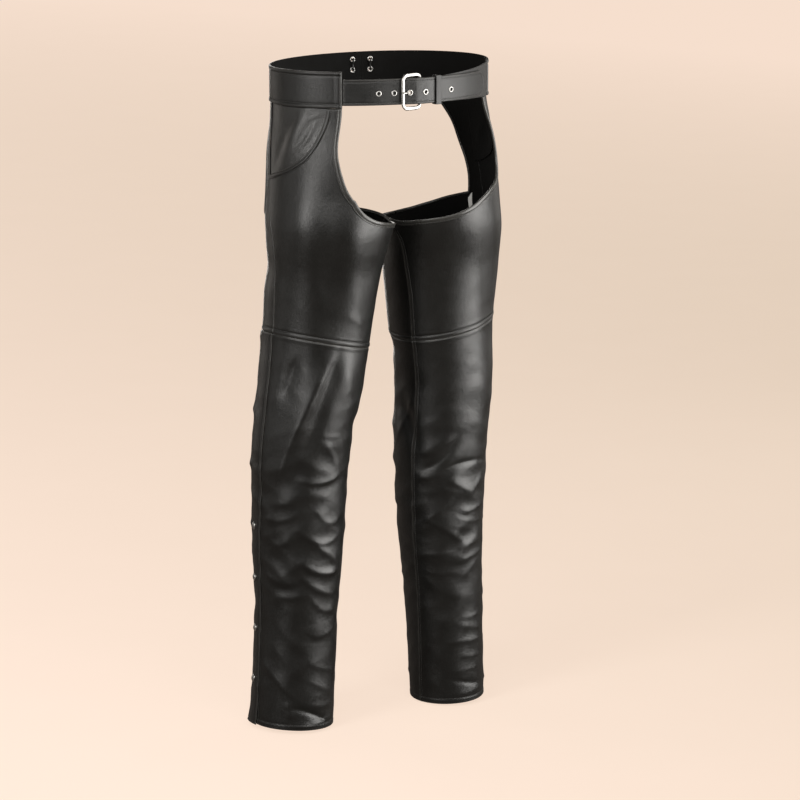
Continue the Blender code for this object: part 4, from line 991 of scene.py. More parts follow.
def thigh_lattice(side, front):
    """The upper panel: a strip up to the waistband over a full-width part.

    Returns angles, heights, faces, and a line of (angle, height) for each edge.
    """
    seam, far = seam_pair(side, front)
    turn = SCOOP[0]["height"]
    top = BAND_LOW - GAP
    free_turn = turn if front else SEAT_SIDE[0]["height"]
    free_edge = SCOOP_AT[side] if front else SEAT_SIDE_AT[side]
    under_edge = UNDER_SCOOP_AT[side] if front else UNDER_SEAT_AT[side]
    stretch = (free_turn - top) / (turn - top)

    def near(height):
        if not front:
            return seam(height)
        return np.where(height > MOUTH_END, MOUTH_AT[side](height), seam(height))

    def travel(drop):
        height = top - drop
        run = np.zeros(len(drop))
        for edge, level in ((near, height), (free_edge, top - drop * stretch)):
            angle = edge(level)
            step = np.hypot(np.radians(np.diff(angle)) * HIP_RADIUS, np.diff(level))
            run = np.maximum(run, running(step))
        return run

    drops = even_steps(travel, 0.0, top - turn, STRIP_STEP)
    rows = top - drops
    free_rows = top - drops * stretch
    near_line, free_line = near(rows), free_edge(free_rows)
    width = np.radians(np.abs(near_line - free_line)) * radius_at(side, near_line, rows)
    share = spread(width, max(4, int(width.max() / FINE) - 8))
    strip_angle = near_line[:, None] + (free_line - near_line)[:, None] * share
    strip_height = rows[:, None] + (free_rows - rows)[:, None] * share
    strip = share.shape[1] - 1

    start, crotch = strip_angle[-1, -1], float(far(CROTCH[side]))
    run = math.radians(abs(crotch - start)) * UNDER_RADIUS
    under = spread(run, int(run / FINE), start=(0.0,))
    under_angle = start + (crotch - start) * under[1:]
    under_top = under_edge(under_angle)
    under_top[-1] = CROTCH[side]
    starts = np.concatenate([strip_angle[-1], under_angle])
    tops = np.concatenate([strip_height[-1], under_top])
    first_share = (starts - seam(tops)) / (far(tops) - seam(tops))
    columns = len(starts)
    last_width = math.radians(abs(float(far(KNEE) - seam(KNEE)))) * float(
        radius_at(side, MEAN_ANGLE, KNEE))
    last_share = spread(last_width, columns + 1 - 2 * len(GRADES))
    lows = np.full(columns, KNEE)
    for _ in range(6):
        lows = knee_height(seam(lows) + (far(lows) - seam(lows)) * last_share) + HALF_GAP
    depth = float(np.max(tops - lows))
    down = spread(tops - lows, int(depth / FINE))
    height = tops[:, None] - (tops - lows)[:, None] * down
    fade = np.clip(((tops - lows)[:, None] * down - EDGE) / (tops - lows - EDGE)[:, None], 0, 1)
    part = first_share[:, None] + (last_share - first_share)[:, None] * fade
    angle = seam(height) + (far(height) - seam(height)) * part
    angle, height = angle.T, height.T

    upper = quads(len(rows), strip + 1)
    before = (len(rows) - 1) * (strip + 1)
    count = len(rows) * (strip + 1)
    lower = quads(angle.shape[0], columns, count)
    joint = np.arange(count + columns * angle.shape[0])
    joint[before:count] = count + np.arange(strip + 1)
    upper = joint[upper]
    angles = np.concatenate([strip_angle.ravel(), angle.ravel()])
    heights = np.concatenate([strip_height.ravel(), height.ravel()])
    faces = np.concatenate([upper, lower])
    used = np.unique(faces)
    renumber = np.zeros(len(angles), int)
    renumber[used] = np.arange(len(used))
    lower_index = count + np.arange(angle.size).reshape(angle.shape)
    strip_index = np.arange(count).reshape(len(rows), strip + 1)
    mouth_rows = int(np.sum(rows > MOUTH_END)) if front else 0
    edges = {
        "top": strip_index[0],
        "mouth": strip_index[:mouth_rows + 1, 0],
        "seam": np.concatenate([strip_index[mouth_rows:-1, 0], lower_index[:, 0]]),
        "free": np.concatenate([strip_index[:-1, -1], lower_index[0, strip:]]),
        "knee": lower_index[-1],
        "inner": lower_index[:, -1],
    }
    edges = {name: np.stack([angles[index], heights[index]], axis=1)
             for name, index in edges.items()}
    return angles[used], heights[used], renumber[faces], edges


def leg_shell(name, side, angle, height, faces, edges, inner=0.0, outer=LEATHER,
              inside_edges=(), extra=0.0, finish=BLACK_LEATHER):
    """A panel of a leg, on the form and its folds. extra is a lift of its own."""
    lift = relief(side, angle, height) + extra
    return shell(f"{name}_leather", angle, height, faces,
                 lambda a, h, out: on_form(side, a, h, out), lift, inner, outer, edges,
                 radius_at(side, angle, height), [finish, SUEDE_WITH_PAINTED_SHADE], inside_edges)


def inward_line(side, line, distance, centre):
    """A line beside another, moved a distance toward a panel's middle place."""
    angle, height = line[:, 0], line[:, 1]
    radius = radius_at(side, angle, height)
    x, y = np.radians(angle) * radius.mean(), height
    flow = np.stack([np.gradient(x), np.gradient(y)], axis=1)
    flow /= np.maximum(np.linalg.norm(flow, axis=1), 1e-9)[:, None]
    for _ in range(2):
        flow[1:-1] = (flow[:-2] + flow[1:-1] + flow[2:]) / 3
        flow /= np.linalg.norm(flow, axis=1)[:, None]
    across = np.stack([-flow[:, 1], flow[:, 0]], axis=1)
    toward = np.array([math.radians(centre[0]) * radius.mean(), centre[1]])
    here = np.stack([x, y], axis=1)
    middle = len(here) // 2
    if np.dot(across[middle], toward - here[middle]) < 0:
        across = -across
    moved_angle = angle + np.degrees(across[:, 0] * distance / radius)
    return np.stack([moved_angle, height + across[:, 1] * distance], axis=1)


# ---------------------------------------------------------------- stitches

def stitch_form():
    """One stitch, modelled once: a short rounded bead, along X. Returns points and faces."""
    bpy.ops.object.select_all(action="DESELECT")
    bpy.ops.mesh.primitive_uv_sphere_add(segments=6, ring_count=3, radius=STITCH_HALF)
    bead = bpy.context.object
    for way in (-1, 1):
        pick_points(bead, lambda point: point.z * way > 0)
        bpy.ops.transform.translate(value=(0, 0, way * (STITCH_LENGTH / 2 - STITCH_HALF)))
        bpy.ops.object.mode_set(mode="OBJECT")
    points = np.array([v.co for v in bead.data.vertices])[:, [2, 0, 1]]
    faces = [tuple(face.vertices) for face in bead.data.polygons]
    bpy.data.objects.remove(bead, do_unlink=True)
    return points, faces


def stitch_places(points, normals):
    """Where stitches sit along a line: middles, ways along and ways out."""
    steps = np.linalg.norm(np.diff(points, axis=0), axis=1)
    reached = running(steps)
    count = int(reached[-1] / STITCH_PITCH)
    at = (np.arange(count) + 0.5) * reached[-1] / max(count, 1)
    half = STITCH_LENGTH / 2

    def read(where, values):
        return np.stack([np.interp(where, reached, values[:, k]) for k in range(3)], axis=1)

    middle = read(at, points)
    along = read(at + half, points) - read(at - half, points)
    along /= np.maximum(np.linalg.norm(along, axis=1), 1e-9)[:, None]
    return middle, along, read(at, normals)


STITCH_POINTS, STITCH_FACES = stitch_form()


class Stitching:
    """Rows of stitches, gathered and then made as one piece."""

    def __init__(self):
        self.places = []

    def row(self, points, normals):
        self.places.append(stitch_places(np.asarray(points), np.asarray(normals)))

    def make(self, name):
        middle, along, out = (np.concatenate([p[k] for p in self.places]) for k in range(3))
        out -= along * np.sum(out * along, axis=1)[:, None]
        out /= np.maximum(np.linalg.norm(out, axis=1), 1e-9)[:, None]
        across = np.cross(out, along)
        x, y, z = (STITCH_POINTS[None, :, k:k + 1] for k in range(3))
        points = middle[:, None] + along[:, None] * x + across[:, None] * y + out[:, None] * z
        size = len(STITCH_POINTS)
        faces = [tuple(v + k * size for v in face)
                 for k in range(len(middle)) for face in STITCH_FACES]
        return mesh_object(name, points.reshape(-1, 3), faces, [THREAD])


def way_out(side, angle):
    """The level way out of a leg at an angle."""
    turn = np.radians(angle)
    return np.stack([side * np.sin(turn), -np.cos(turn), 0 * turn], axis=1)


def leg_row(stitching, side, line, out):
    """A row of stitches along a line on a leg."""
    angle, height = line[:, 0], line[:, 1]
    lift = relief(side, angle, height)
    stitching.row(on_form(side, angle, height, lift + out), way_out(side, angle))


def ring_row(stitching, angle, height, out):
    """A row of stitches along a line on the waist ring."""
    angle, height = np.asarray(angle, float), np.asarray(height, float) + 0.0 * angle
    points = ring(angle, height, out)
    outer = ring(angle, height, np.asarray(out) + 0.01)
    stitching.row(points, (outer - points) / 0.01)


# ---------------------------------------------------------------- bindings

# the binding wraps the edge: (distance in from the edge, lift), round its section
BINDING_SECTION = (
    (0.0032, -0.0009), (0.0006, -0.0010), (-0.0006, -0.0006), (-0.0011, 0.0004),
    (-0.0010, 0.0018), (-0.0004, 0.0027), (0.0008, 0.0031), (0.0022, 0.0031),
    (0.0038, 0.0029), (0.0046, 0.0024), (0.0052, 0.0024), (0.0058, 0.0027),
    (0.0064, 0.0025), (0.0067, 0.0018), (0.0040, 0.0018), (0.0012, 0.0018),
    (-0.0002, 0.0014), (-0.0003, 0.0004), (0.0002, -0.0003), (0.0032, -0.0003),
)
BINDING_CREST = -0.0004
BINDING_STEP = 0.0030


def evened(line):
    """A bound edge with its places a step apart."""
    x = np.radians(line[:, 0]) * BOUND_RADIUS
    reached = running(np.hypot(np.diff(x), np.diff(line[:, 1])))
    count = max(2, int(reached[-1] / BINDING_STEP))
    at = np.linspace(0, reached[-1], count + 1)
    return np.stack([np.interp(at, reached, line[:, k]) for k in (0, 1)], axis=1)


def binding(name, side, line, centre, stitching):
    """A folded strip sewn over a free edge, and its row of stitches."""
    line = evened(line)
    at_edge = relief(side, line[:, 0], line[:, 1])
    points = []
    for distance, lift in BINDING_SECTION:
        places = inward_line(side, line, distance, centre)
        points.append(on_form(side, places[:, 0], places[:, 1], at_edge + lift))
    # the pale line on the binding's crest: partly rubbed wear, partly a painted highlight
    rub_and_highlight = np.array([math.exp(-((distance - BINDING_CREST) / RUB_AND_HIGHLIGHT_WIDTH)**2) if lift > 0 else 0.0
                    for distance, lift in BINDING_SECTION])
    trim = tube(f"{name}_strip", np.stack(points, axis=1), rub_and_highlight)
    row = inward_line(side, line, BINDING_STITCH, centre)
    stitching.row(on_form(side, row[:, 0], row[:, 1], at_edge + BINDING_THREAD),
                  way_out(side, row[:, 0]))
    return kept(trim, "leather", name)


def tube(name, points, rub_and_highlight):
    """A closed skin of edge binding: points[k] is the section at a place k along it."""
    length, size = points.shape[:2]
    index = np.arange(length * size).reshape(length, size)
    here, ahead = index[:-1], index[1:]
    faces = np.stack([here, np.roll(here, -1, axis=1), np.roll(ahead, -1, axis=1), ahead],
                     axis=-1).reshape(-1, 4).tolist()
    faces += [index[0, ::-1].tolist(), index[-1].tolist()]
    flat = points.reshape(-1, 3)
    volume = 0.0
    for face in faces:
        for k in range(1, len(face) - 1):
            a, b, c = flat[face[0]], flat[face[k]], flat[face[k + 1]]
            volume += a @ np.cross(b, c)
    if volume < 0:
        faces = [face[::-1] for face in faces]
    # the crest's pale line: partly rubbed wear, partly a painted highlight
    return mesh_object(name, flat, faces, [BOUND_LEATHER_PAINTED_HIGHLIGHT],
                       attributes={"rub_and_highlight": np.tile(rub_and_highlight, length)})


# ---------------------------------------------------------------- the legs

# the places, about the middle of a panel, toward which its rows of stitches move in
THIGH_MIDDLES = {True: (20.0, -0.30), False: (180.0, -0.30)}
MOUTH_MIDDLE = (48.0, -0.11)
BOUND_MIDDLE = -0.32

# the closing flap: its share of the back panel, and how it flares toward the hem
FLAP_SHARE = 2 / 12
FLAP_FLARE = 0.0055
FLARE_FROM = -0.955
FLARE_START = 88.0
FLARE_WIDTH = 34.0
OVER = LEATHER + GAP
SNAP_HEIGHTS = (-0.694, -0.778, -0.861, -0.943)

# the pocket's facing: how deep it lies, how far it reaches under its neighbours, its lattice,
# and the degrees over which its rumples fade beside its edges
FACING_SUNK = 0.0009
FACING_UNDER = 0.0050
FACING_ROWS = 60
FACING_COLUMNS = 40
FACING_FADE = 6.0
FACING_FOLDS = table(
    "angle height slope half_length half_width rise",
    (74, -0.070, -66, 0.042, 0.0125, 0.0052),
    (63, -0.066, -66, 0.022, 0.0034, 0.0014),
    (69, -0.088, -52, 0.022, 0.0040, 0.0012),
    (90, -0.100, -60, 0.030, 0.0090, -0.0016),
    (60, -0.040, -30, 0.012, 0.0035, 0.0008),
)


def kept(piece, slot, *nodes):
    """A finished piece: what it stands for, and the body it rides on. Its slot is not used."""
    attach(piece, "root")
    if nodes:
        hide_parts(*nodes)
    return piece


def lattice_edges(angle, height):
    """The four edges of a plain lattice, as lines of (angle, height)."""
    grid = np.stack([angle, height], axis=-1)
    return grid[0], grid[-1], grid[:, 0], grid[:, -1]


def middle_of(angle, height):
    """The middle place of a lattice."""
    return float(angle.mean()), float(height.mean())


def make_calf(side, front, stitching):
    """A lower panel, with its hem and inner seam sewn. Returns its lattice too."""
    angle, height = calf_lattice(side, front)
    top, low, near, far = lattice_edges(angle, height)
    name = f"calf_{'front' if front else 'back'}_{TAGS[side]}"
    edges = [(top, KNEE_BELOW), (low, HEM_EDGE), (near, PLAIN_SEAM),
             (far, WELT_SEAM if front else PLAIN_SEAM)]
    piece = leg_shell(name, side, angle.ravel(), height.ravel(), quads(*angle.shape), edges,
                      inside_edges=(low,))
    centre = middle_of(angle, height)
    leg_row(stitching, side, inward_line(side, low, HEM_STITCH, centre), LEATHER - THREAD_SUNK)
    if front:
        leg_row(stitching, side, inward_line(side, far, WELT_STITCH, centre), LEATHER)
    return kept(piece, "leather", name), angle, height


def make_flap(side, angle, height, stitching):
    """The closing flap, over the back panel beside the outer seam."""
    width = np.radians(np.abs(angle[:, -1] - angle[:, 0])).mean() * CALF_RADIUS * FLAP_SHARE
    near, far = angle[:, :1], angle[:, -1:]
    place = near + (far - near) * spread(width, 8) * FLAP_SHARE
    levels = np.stack([np.interp(row, at, level)
                       for row, at, level in zip(place, angle, height)])
    flat_angle, flat_height = place.ravel(), levels.ravel()
    down = np.clip((FLARE_FROM - flat_height) / (FLARE_FROM - HEM), 0, 1)
    back = np.clip((flat_angle - FLARE_START) / FLARE_WIDTH, 0, 1)
    flare = FLAP_FLARE * down * down * (0.35 + 0.65 * back)
    top, low, front_edge, back_edge = lattice_edges(place, levels)
    free = (low, front_edge, back_edge)
    edges = [(top, PLAIN_SEAM)] + [(line, FLAP_EDGE) for line in free]
    name = f"side_flap_{TAGS[side]}"
    piece = leg_shell(name, side, flat_angle, flat_height, quads(*place.shape), edges, OVER,
                      OVER + LEATHER, free, flare)
    for line in (front_edge, back_edge):
        row = inward_line(side, line, FLAP_STITCH, middle_of(place, levels))
        keep = row[:, 1] > FLARE_FROM
        leg_row(stitching, side, row[keep], OVER + LEATHER - THREAD_SUNK)
    return kept(piece, "leather", name), place, levels


def make_thigh(side, front, stitching):
    """An upper panel, its rows of stitches, and the binding on its free edge."""
    angle, height, faces, edges = thigh_lattice(side, front)
    name = f"thigh_{'front' if front else 'back'}_{TAGS[side]}"
    shaped = [(edges["top"], SLIT_EDGE), (edges["free"], BOUND_EDGE),
              (edges["seam"], PLAIN_SEAM), (edges["knee"], KNEE_ABOVE),
              (edges["inner"], WELT_SEAM if front else PLAIN_SEAM)]
    if front:
        shaped.append((edges["mouth"], MOUTH_EDGE))
    piece = kept(leg_shell(name, side, angle, height, faces, shaped), "leather", name)
    middle = THIGH_MIDDLES[front]
    rows = [("knee", KNEE_STITCH, middle)]
    if front:
        rows.append(("inner", WELT_STITCH, middle))
        rows.extend(("mouth", distance, MOUTH_MIDDLE) for distance in MOUTH_STITCHES)
    for edge, distance, toward in rows:
        leg_row(stitching, side, inward_line(side, edges[edge], distance, toward), LEATHER)
    trim = binding(f"{'front' if front else 'seat'}_binding_{TAGS[side]}", side, edges["free"],
                   (angle.mean(), BOUND_MIDDLE), stitching)
    return piece, trim


def make_facing(side):
    """The piece behind the pocket mouth."""
    level = np.linspace(BAND_LOW - GAP, MOUTH_END - FACING_UNDER, FACING_ROWS)
    under = degrees_of(side, level, FACING_UNDER)
    first = MOUTH_AT[side](level + FACING_UNDER) - under
    last = OUTER_SEAM[side](level) + under
    share = np.linspace(0, 1, FACING_COLUMNS)
    angle = (first[:, None] + (last - first)[:, None] * share).ravel()
    height = np.repeat(level, FACING_COLUMNS)
    rumple = np.zeros(angle.shape)
    for fold in FACING_FOLDS:
        s = np.radians(angle - fold["angle"]) * HIP_RADIUS
        rumple += soft_fold(s, height - fold["height"], fold)
    inside = np.minimum(angle - MOUTH_AT[side](height), OUTER_SEAM[side](height) - angle)
    rumple *= np.clip(inside / FACING_FADE, 0, 1)
    name = f"pocket_facing_{TAGS[side]}"
    piece = leg_shell(name, side, angle, height, quads(FACING_ROWS, FACING_COLUMNS), [],
                      -FACING_SUNK - LEATHER, -FACING_SUNK, extra=rumple,
                      finish=POCKET_LEATHER_PAINTED_SHEEN)
    return kept(piece, "leather", name)


def make_leg(side):
    """Everything on one leg: its panels, bindings, pocket facing, snaps and stitching."""
    tag = TAGS[side]
    stitching = Stitching()
    thigh_front, front_trim = make_thigh(side, True, stitching)
    thigh_back, seat_trim = make_thigh(side, False, stitching)
    calf_front = make_calf(side, True, stitching)[0]
    calf_back, angle, height = make_calf(side, False, stitching)
    flap, flap_angle, flap_height = make_flap(side, angle, height, stitching)
    facing = make_facing(side)
    make_snaps(side, flap_angle, flap_height)
    stitches = kept(stitching.make(f"stitches_{tag}_leg"), "leather")


# ---------------------------------------------------------------- waistband and straps

# the waistband and the belt. Their angles are the right side's, past 0 to the left
BAND_RIGHT_END = 45.0
BAND_LEFT_END = -55.0
BACK_SLIT = 194.4
SLIT_WIDTH = 0.0002
STRAP_MIDDLE = -0.004
STRAP_HALF = 0.0200
STRAP_TIP = -43.7
STRAP_WALL = 0.0030
TIP_LENGTH = 6.0
STRAP_RISE = table(
    "angle rise",
    (-44.0, 0.0033),
    (-6.4, 0.0033),
    (-1.5, 0.0046),
    (1.5, 0.0054),
    (6.5, 0.0054),
    (9.8, 0.0036),
    (15.3, 0.0010),
    (21.0, 0.0),
    (45.0, 0.0),
)
STRAP_RISE_AT = reader(STRAP_RISE, "angle", "rise")
EYELET_ANGLES = (26.0, 18.2, 10.4, 2.6, -5.2, -13.2)
EYELET_HEIGHT = -0.006
BACK_EYELET_ARC = 0.0150
BACK_EYELET_HEIGHTS = (0.0160, -0.0005)
EYELET_HOLE = 0.0031
PRONG_EYELET = 2
PUNCH_DEPTH = 0.016
LINING = 0.0007
END_ROW_INSET = 0.006
TIP_FLAT = 0.0012
STRAP_STEPS = 86
TIP_STEPS = 22
TIP_ROW_STEPS = 40
END_ROW_STEPS = 12
UP = Vector((0, 0, 1))


def band_lattice(first, last):
    """A half of the waistband: angles and heights, row by row."""
    angles = np.linspace(first, last, 400)
    reached = running(np.radians(np.diff(angles)) * ring_radius(angles[1:], 0.0))
    share = spread(reached[-1], int(reached[-1] / FINE))
    across = np.interp(share * reached[-1], reached, angles)
    down = BAND_TOP + (BAND_LOW - BAND_TOP) * spread(BAND_TOP - BAND_LOW, 13)
    return np.meshgrid(across, down)


def punch(piece, places):
    """Cuts round holes into a piece, at (middle, way out) places."""
    for number, (middle, out) in enumerate(places):
        bpy.ops.object.select_all(action="DESELECT")
        bpy.ops.mesh.primitive_cylinder_add(vertices=20, radius=EYELET_HOLE, depth=PUNCH_DEPTH,
                                            location=middle)
        cutter = bpy.context.object
        cutter.rotation_mode = "QUATERNION"
        cutter.rotation_quaternion = Vector(out).to_track_quat("Z", "Y")
        bpy.context.view_layer.objects.active = piece
        hole = piece.modifiers.new(f"hole {number}", "BOOLEAN")
        hole.solver = "EXACT"
        hole.object = cutter
        bpy.ops.object.modifier_apply(modifier=hole.name)
        bpy.data.objects.remove(cutter, do_unlink=True)


def ring_way(angle):
    """The ring's way along, toward smaller angles, and its way out."""
    ahead = ring(np.array(angle - 0.5), 0.0, 0.0) - ring(np.array(angle + 0.5), 0.0, 0.0)
    along = Vector(ahead).normalized()
    return along, along.cross(UP)


def back_angles():
    """The angles of the back eyelets, right and left of the slit."""
    reach = ring_degrees(BACK_SLIT, BACK_EYELET_ARC)
    return BACK_SLIT - reach, BACK_SLIT + reach


def make_band(tag, first, last, front_first, stitching):
    """A half of the waistband. front_first says that its front end comes first."""
    across, down = band_lattice(first, last)
    top, low, near, far = lattice_edges(across, down)
    end, slit = (near, far) if front_first else (far, near)
    angle, height = across.ravel(), down.ravel()
    edges = [(top, BAND_EDGE), (low, BAND_EDGE), (end, BAND_END), (slit, SLIT_EDGE)]
    piece = shell(f"waistband_{tag}_leather", angle, height, quads(*across.shape), ring, 0.0,
                  0.0, BAND_WALL, edges, ring_radius(angle, height), [BELT_LEATHER, SUEDE_WITH_PAINTED_SHADE],
                  (top, low))
    eyelet = back_angles()[0 if front_first else 1]
    out = ring_way(eyelet)[1]
    punch(piece, [(ring_spot(eyelet, level, BAND_WALL / 2), out)
                  for level in BACK_EYELET_HEIGHTS])
    for level in (BAND_TOP - BAND_STITCH, BAND_LOW + BAND_STITCH):
        ring_row(stitching, across[0, 3:-3], level, BAND_THREAD)
    at_end = end[0, 0]
    way = 1 if front_first else -1
    levels = np.linspace(BAND_TOP - END_ROW_INSET, BAND_LOW + END_ROW_INSET, END_ROW_STEPS)
    line = np.full(END_ROW_STEPS, at_end + way * ring_degrees(at_end, BAND_END_STITCH))
    ring_row(stitching, line, levels, BAND_END_THREAD)
    return kept(piece, "leather", f"waistband_{tag}")


def strap_place(angle, out):
    """A place on the line of the strap's eyelets, out from the strap's inner face."""
    return ring(np.array(angle), EYELET_HEIGHT, float(STRAP_RISE_AT(angle)) + out)


def strap_half(angle):
    """Half the strap's height, rounded off at the tip."""
    beyond = np.clip((STRAP_TIP + TIP_LENGTH - angle) / TIP_LENGTH, 0, 1)
    return np.maximum(STRAP_HALF * np.sqrt(np.maximum(1 - beyond**2, 0.0)), TIP_FLAT)


def make_strap(stitching):
    """The front strap, from the right end of the band to its rounded tip."""
    start = BAND_RIGHT_END - ring_degrees(BAND_RIGHT_END, GAP)
    round_from = STRAP_TIP + TIP_LENGTH
    straight = np.linspace(start, round_from, STRAP_STEPS)
    tip = round_from - TIP_LENGTH * np.sin(np.radians(np.linspace(0, 90, TIP_STEPS)[1:]))
    across = np.concatenate([straight, tip])
    share = 2 * spread(2 * STRAP_HALF, 10) - 1
    angle = np.repeat(across[:, None], len(share), axis=1)
    height = STRAP_MIDDLE + share[None, :] * strap_half(across)[:, None]
    first, last, low, top = lattice_edges(angle, height)
    outline = np.concatenate([low, last[1:-1], top[::-1]])
    flat_angle, flat_height = angle.ravel(), height.ravel()
    radius = ring_radius(flat_angle, flat_height)
    lift = STRAP_RISE_AT(flat_angle)
    piece = shell("belt_strap_leather", flat_angle, flat_height, quads(*angle.shape), ring, lift,
                  0.0, STRAP_WALL, [(outline, STRAP_EDGE), (first, SLIT_EDGE)], radius,
                  [BELT_LEATHER, SUEDE_WITH_PAINTED_SHADE], (outline,))
    places = []
    for number, eyelet in enumerate(EYELET_ANGLES):
        # the prong's hole goes right through, the others stop at the lining
        base = STRAP_WALL / 2 if number == PRONG_EYELET else PUNCH_DEPTH / 2 + LINING
        places.append((Vector(strap_place(eyelet, base)), strap_way(eyelet)))
    punch(piece, places)
    inner = strap_line(across, STRAP_STITCH)
    ring_row(stitching, inner[:, 0], inner[:, 1],
             STRAP_RISE_AT(inner[:, 0]) + STRAP_WALL - THREAD_SUNK)
    return kept(piece, "leather", "belt_strap_right")


def strap_line(across, distance):
    """The strap's outline, a distance in: along the bottom, round the tip and back."""
    radius = float(ring_radius(STRAP_TIP, 0.0))
    half = STRAP_HALF - distance
    length = TIP_LENGTH - math.degrees(distance / radius)
    centre = STRAP_TIP + TIP_LENGTH
    flat = across[(across > centre) & (across < BAND_RIGHT_END - 1.0)]
    turn = np.radians(np.linspace(0, 180, TIP_ROW_STEPS))
    bend = np.stack([centre - length * np.sin(turn), STRAP_MIDDLE - half * np.cos(turn)], axis=1)
    low = np.stack([flat, np.full(len(flat), STRAP_MIDDLE - half)], axis=1)
    top = np.stack([flat[::-1], np.full(len(flat), STRAP_MIDDLE + half)], axis=1)
    return np.concatenate([low, bend, top])


def strap_way(angle):
    """The way out of the strap, on its own rise."""
    ahead, behind = (strap_place(angle + step, STRAP_WALL) for step in (-0.5, 0.5))
    return Vector(ahead - behind).normalized().cross(UP)


def make_waist():
    """The waistband's halves, the front strap and their stitching."""
    stitching = Stitching()
    slit = ring_degrees(BACK_SLIT, SLIT_WIDTH / 2)
    right = make_band("right", BAND_RIGHT_END, BACK_SLIT - slit, True, stitching)
    left = make_band("left", BACK_SLIT + slit, 360 + BAND_LEFT_END, False, stitching)
    strap = make_strap(stitching)
    stitches = kept(stitching.make("stitches_waist"), "leather")


# ---------------------------------------------------------------- hardware, lace and loops

HINGE_ANGLE = 4.0
HINGE_OUT = -0.0002
BAR_ANGLE = 14.0
FRAME_HALF_HEIGHT = 0.0255
FRAME_MIDDLE = -0.005
FRAME_CORNER = 0.0085
FRAME_BAR_HALF = 0.0030
FRAME_BAR_THICK = 0.0019
HINGE_BAR_HALF = 0.0019
PRONG_RADIUS = 0.0012
PRONG_CLEAR = 0.0004
PRONG_CURL = (-20, -65, -110, -155, 160, 115, 70)

UNDER_STRAP_WALL = 0.0020
UNDER_STRAP_AT_HINGE = (0.0135, -0.0225)
UNDER_STRAP_AT_BAND = (0.0255, -0.0275)
FOLD_CLEAR = 0.0004
FOLD_PLY = 0.0016
FOLD_BACK = 0.0014
FOLD_ENDS = (-2.6, -0.5)
FOLD_FROM = 285
FOLD_TURN = 210
FOLD_STEPS = 14
UNDER_STRAP_FROM = -1.0
UNDER_STRAP_STEPS = 70
UNDER_STRAP_HEIGHT = 0.044

KEEPER_ANGLES = (-3.0, -6.2)
KEEPER_WALL = 0.0016
KEEPER_CLEAR = 0.0005
KEEPER_OVER_EYELET = 0.0015
LACE_RADIUS = 0.0013
LACE_HUMP = 0.17
LACE_SHARES = (0.18, 0.34, 0.5, 0.66, 0.82)
EYELET_RIM = 0.0012
EYELET_BORE = 0.00276
ROUNDED = 0.0006
TURNED_SIDES = 24
SHARP_FROM = math.radians(50.0)

# turned metal, as (radius, height above the leather)
EYELET_PROFILE = (
    (0.0044, -0.0003), (0.0045, 0.0003), (0.0043, 0.0008), (0.0039, 0.0011), (0.0034, 0.0012),
    (0.0030, 0.0009), (0.0028, 0.0003), (0.0027, -0.0004), (0.0027, -0.0028), (0.0029, -0.0035),
    (0.0033, -0.0040), (0.0038, -0.0041), (0.0043, -0.0038), (0.0045, -0.0033), (0.0043, -0.0027),
)
SNAP_PROFILE = (
    (0.0060, -0.0006), (0.0062, 0.0002), (0.0062, 0.0008), (0.0059, 0.0013), (0.0054, 0.0016),
    (0.0050, 0.0016), (0.0047, 0.0019), (0.0040, 0.0024), (0.0031, 0.0028), (0.0020, 0.0030),
    (0.0009, 0.0031),
)


def finished(piece, finish):
    """Shades a piece smooth up to its sharp edges, and gives it its one material."""
    only(piece)
    bpy.ops.object.shade_smooth_by_angle(angle=SHARP_FROM)
    piece.data.materials.clear()
    piece.data.materials.append(finish)
    return piece


def set_down(piece, middle, across, up, out):
    """Turns a piece made flat at the origin (x, y, z) to across, up and out, and moves it."""
    only(piece)
    piece.matrix_world = Matrix((across, up, out)).transposed().to_4x4()
    piece.location = middle
    bpy.ops.object.transform_apply(location=True, rotation=True, scale=True)
    return piece


def drawn_out(name, profile, closed, finish):
    """A turned piece: a circle drawn out ring by ring, then closed."""
    bpy.ops.object.select_all(action="DESELECT")
    radius, level = profile[0]
    bpy.ops.mesh.primitive_circle_add(vertices=TURNED_SIDES, radius=radius,
                                      location=(0, 0, level))
    piece = bpy.context.object
    piece.name = name
    bpy.ops.object.transform_apply(location=True, rotation=True, scale=True)
    bpy.ops.object.mode_set(mode="EDIT")
    bpy.ops.mesh.select_mode(type="EDGE")
    bpy.ops.mesh.select_all(action="SELECT")
    for wide, high in profile[1:]:
        bpy.ops.mesh.extrude_region_move(TRANSFORM_OT_translate={"value": (0, 0, high - level)})
        bpy.ops.transform.resize(value=(wide / radius, wide / radius, 1.0))
        radius, level = wide, high
    if closed:
        bpy.ops.mesh.select_all(action="SELECT")
        bpy.ops.mesh.region_to_loop()
        bpy.ops.mesh.bridge_edge_loops()
    else:
        bpy.ops.mesh.edge_face_add()
    bpy.ops.mesh.select_all(action="SELECT")
    bpy.ops.mesh.normals_make_consistent(inside=False)
    bpy.ops.object.mode_set(mode="OBJECT")
    return finished(piece, finish)


def along_edge(out):
    """The way across and the way up on a surface that faces a given way out."""
    out = Vector(out).normalized()
    across = UP.cross(out).normalized()
    return across, out.cross(across), out


def set_copies(template, stem, part, spots):
    """Sets copies of a turned piece down, each at its (tag, place, way out)."""
    for tag, place, out in spots:
        piece = template.copy()
        piece.data = template.data.copy()
        piece.name = f"{stem}_{part}_{tag}"
        bpy.context.scene.collection.objects.link(piece)
        set_down(piece, place, *along_edge(out))
        kept(piece, "metal", f"{stem}_{tag}")


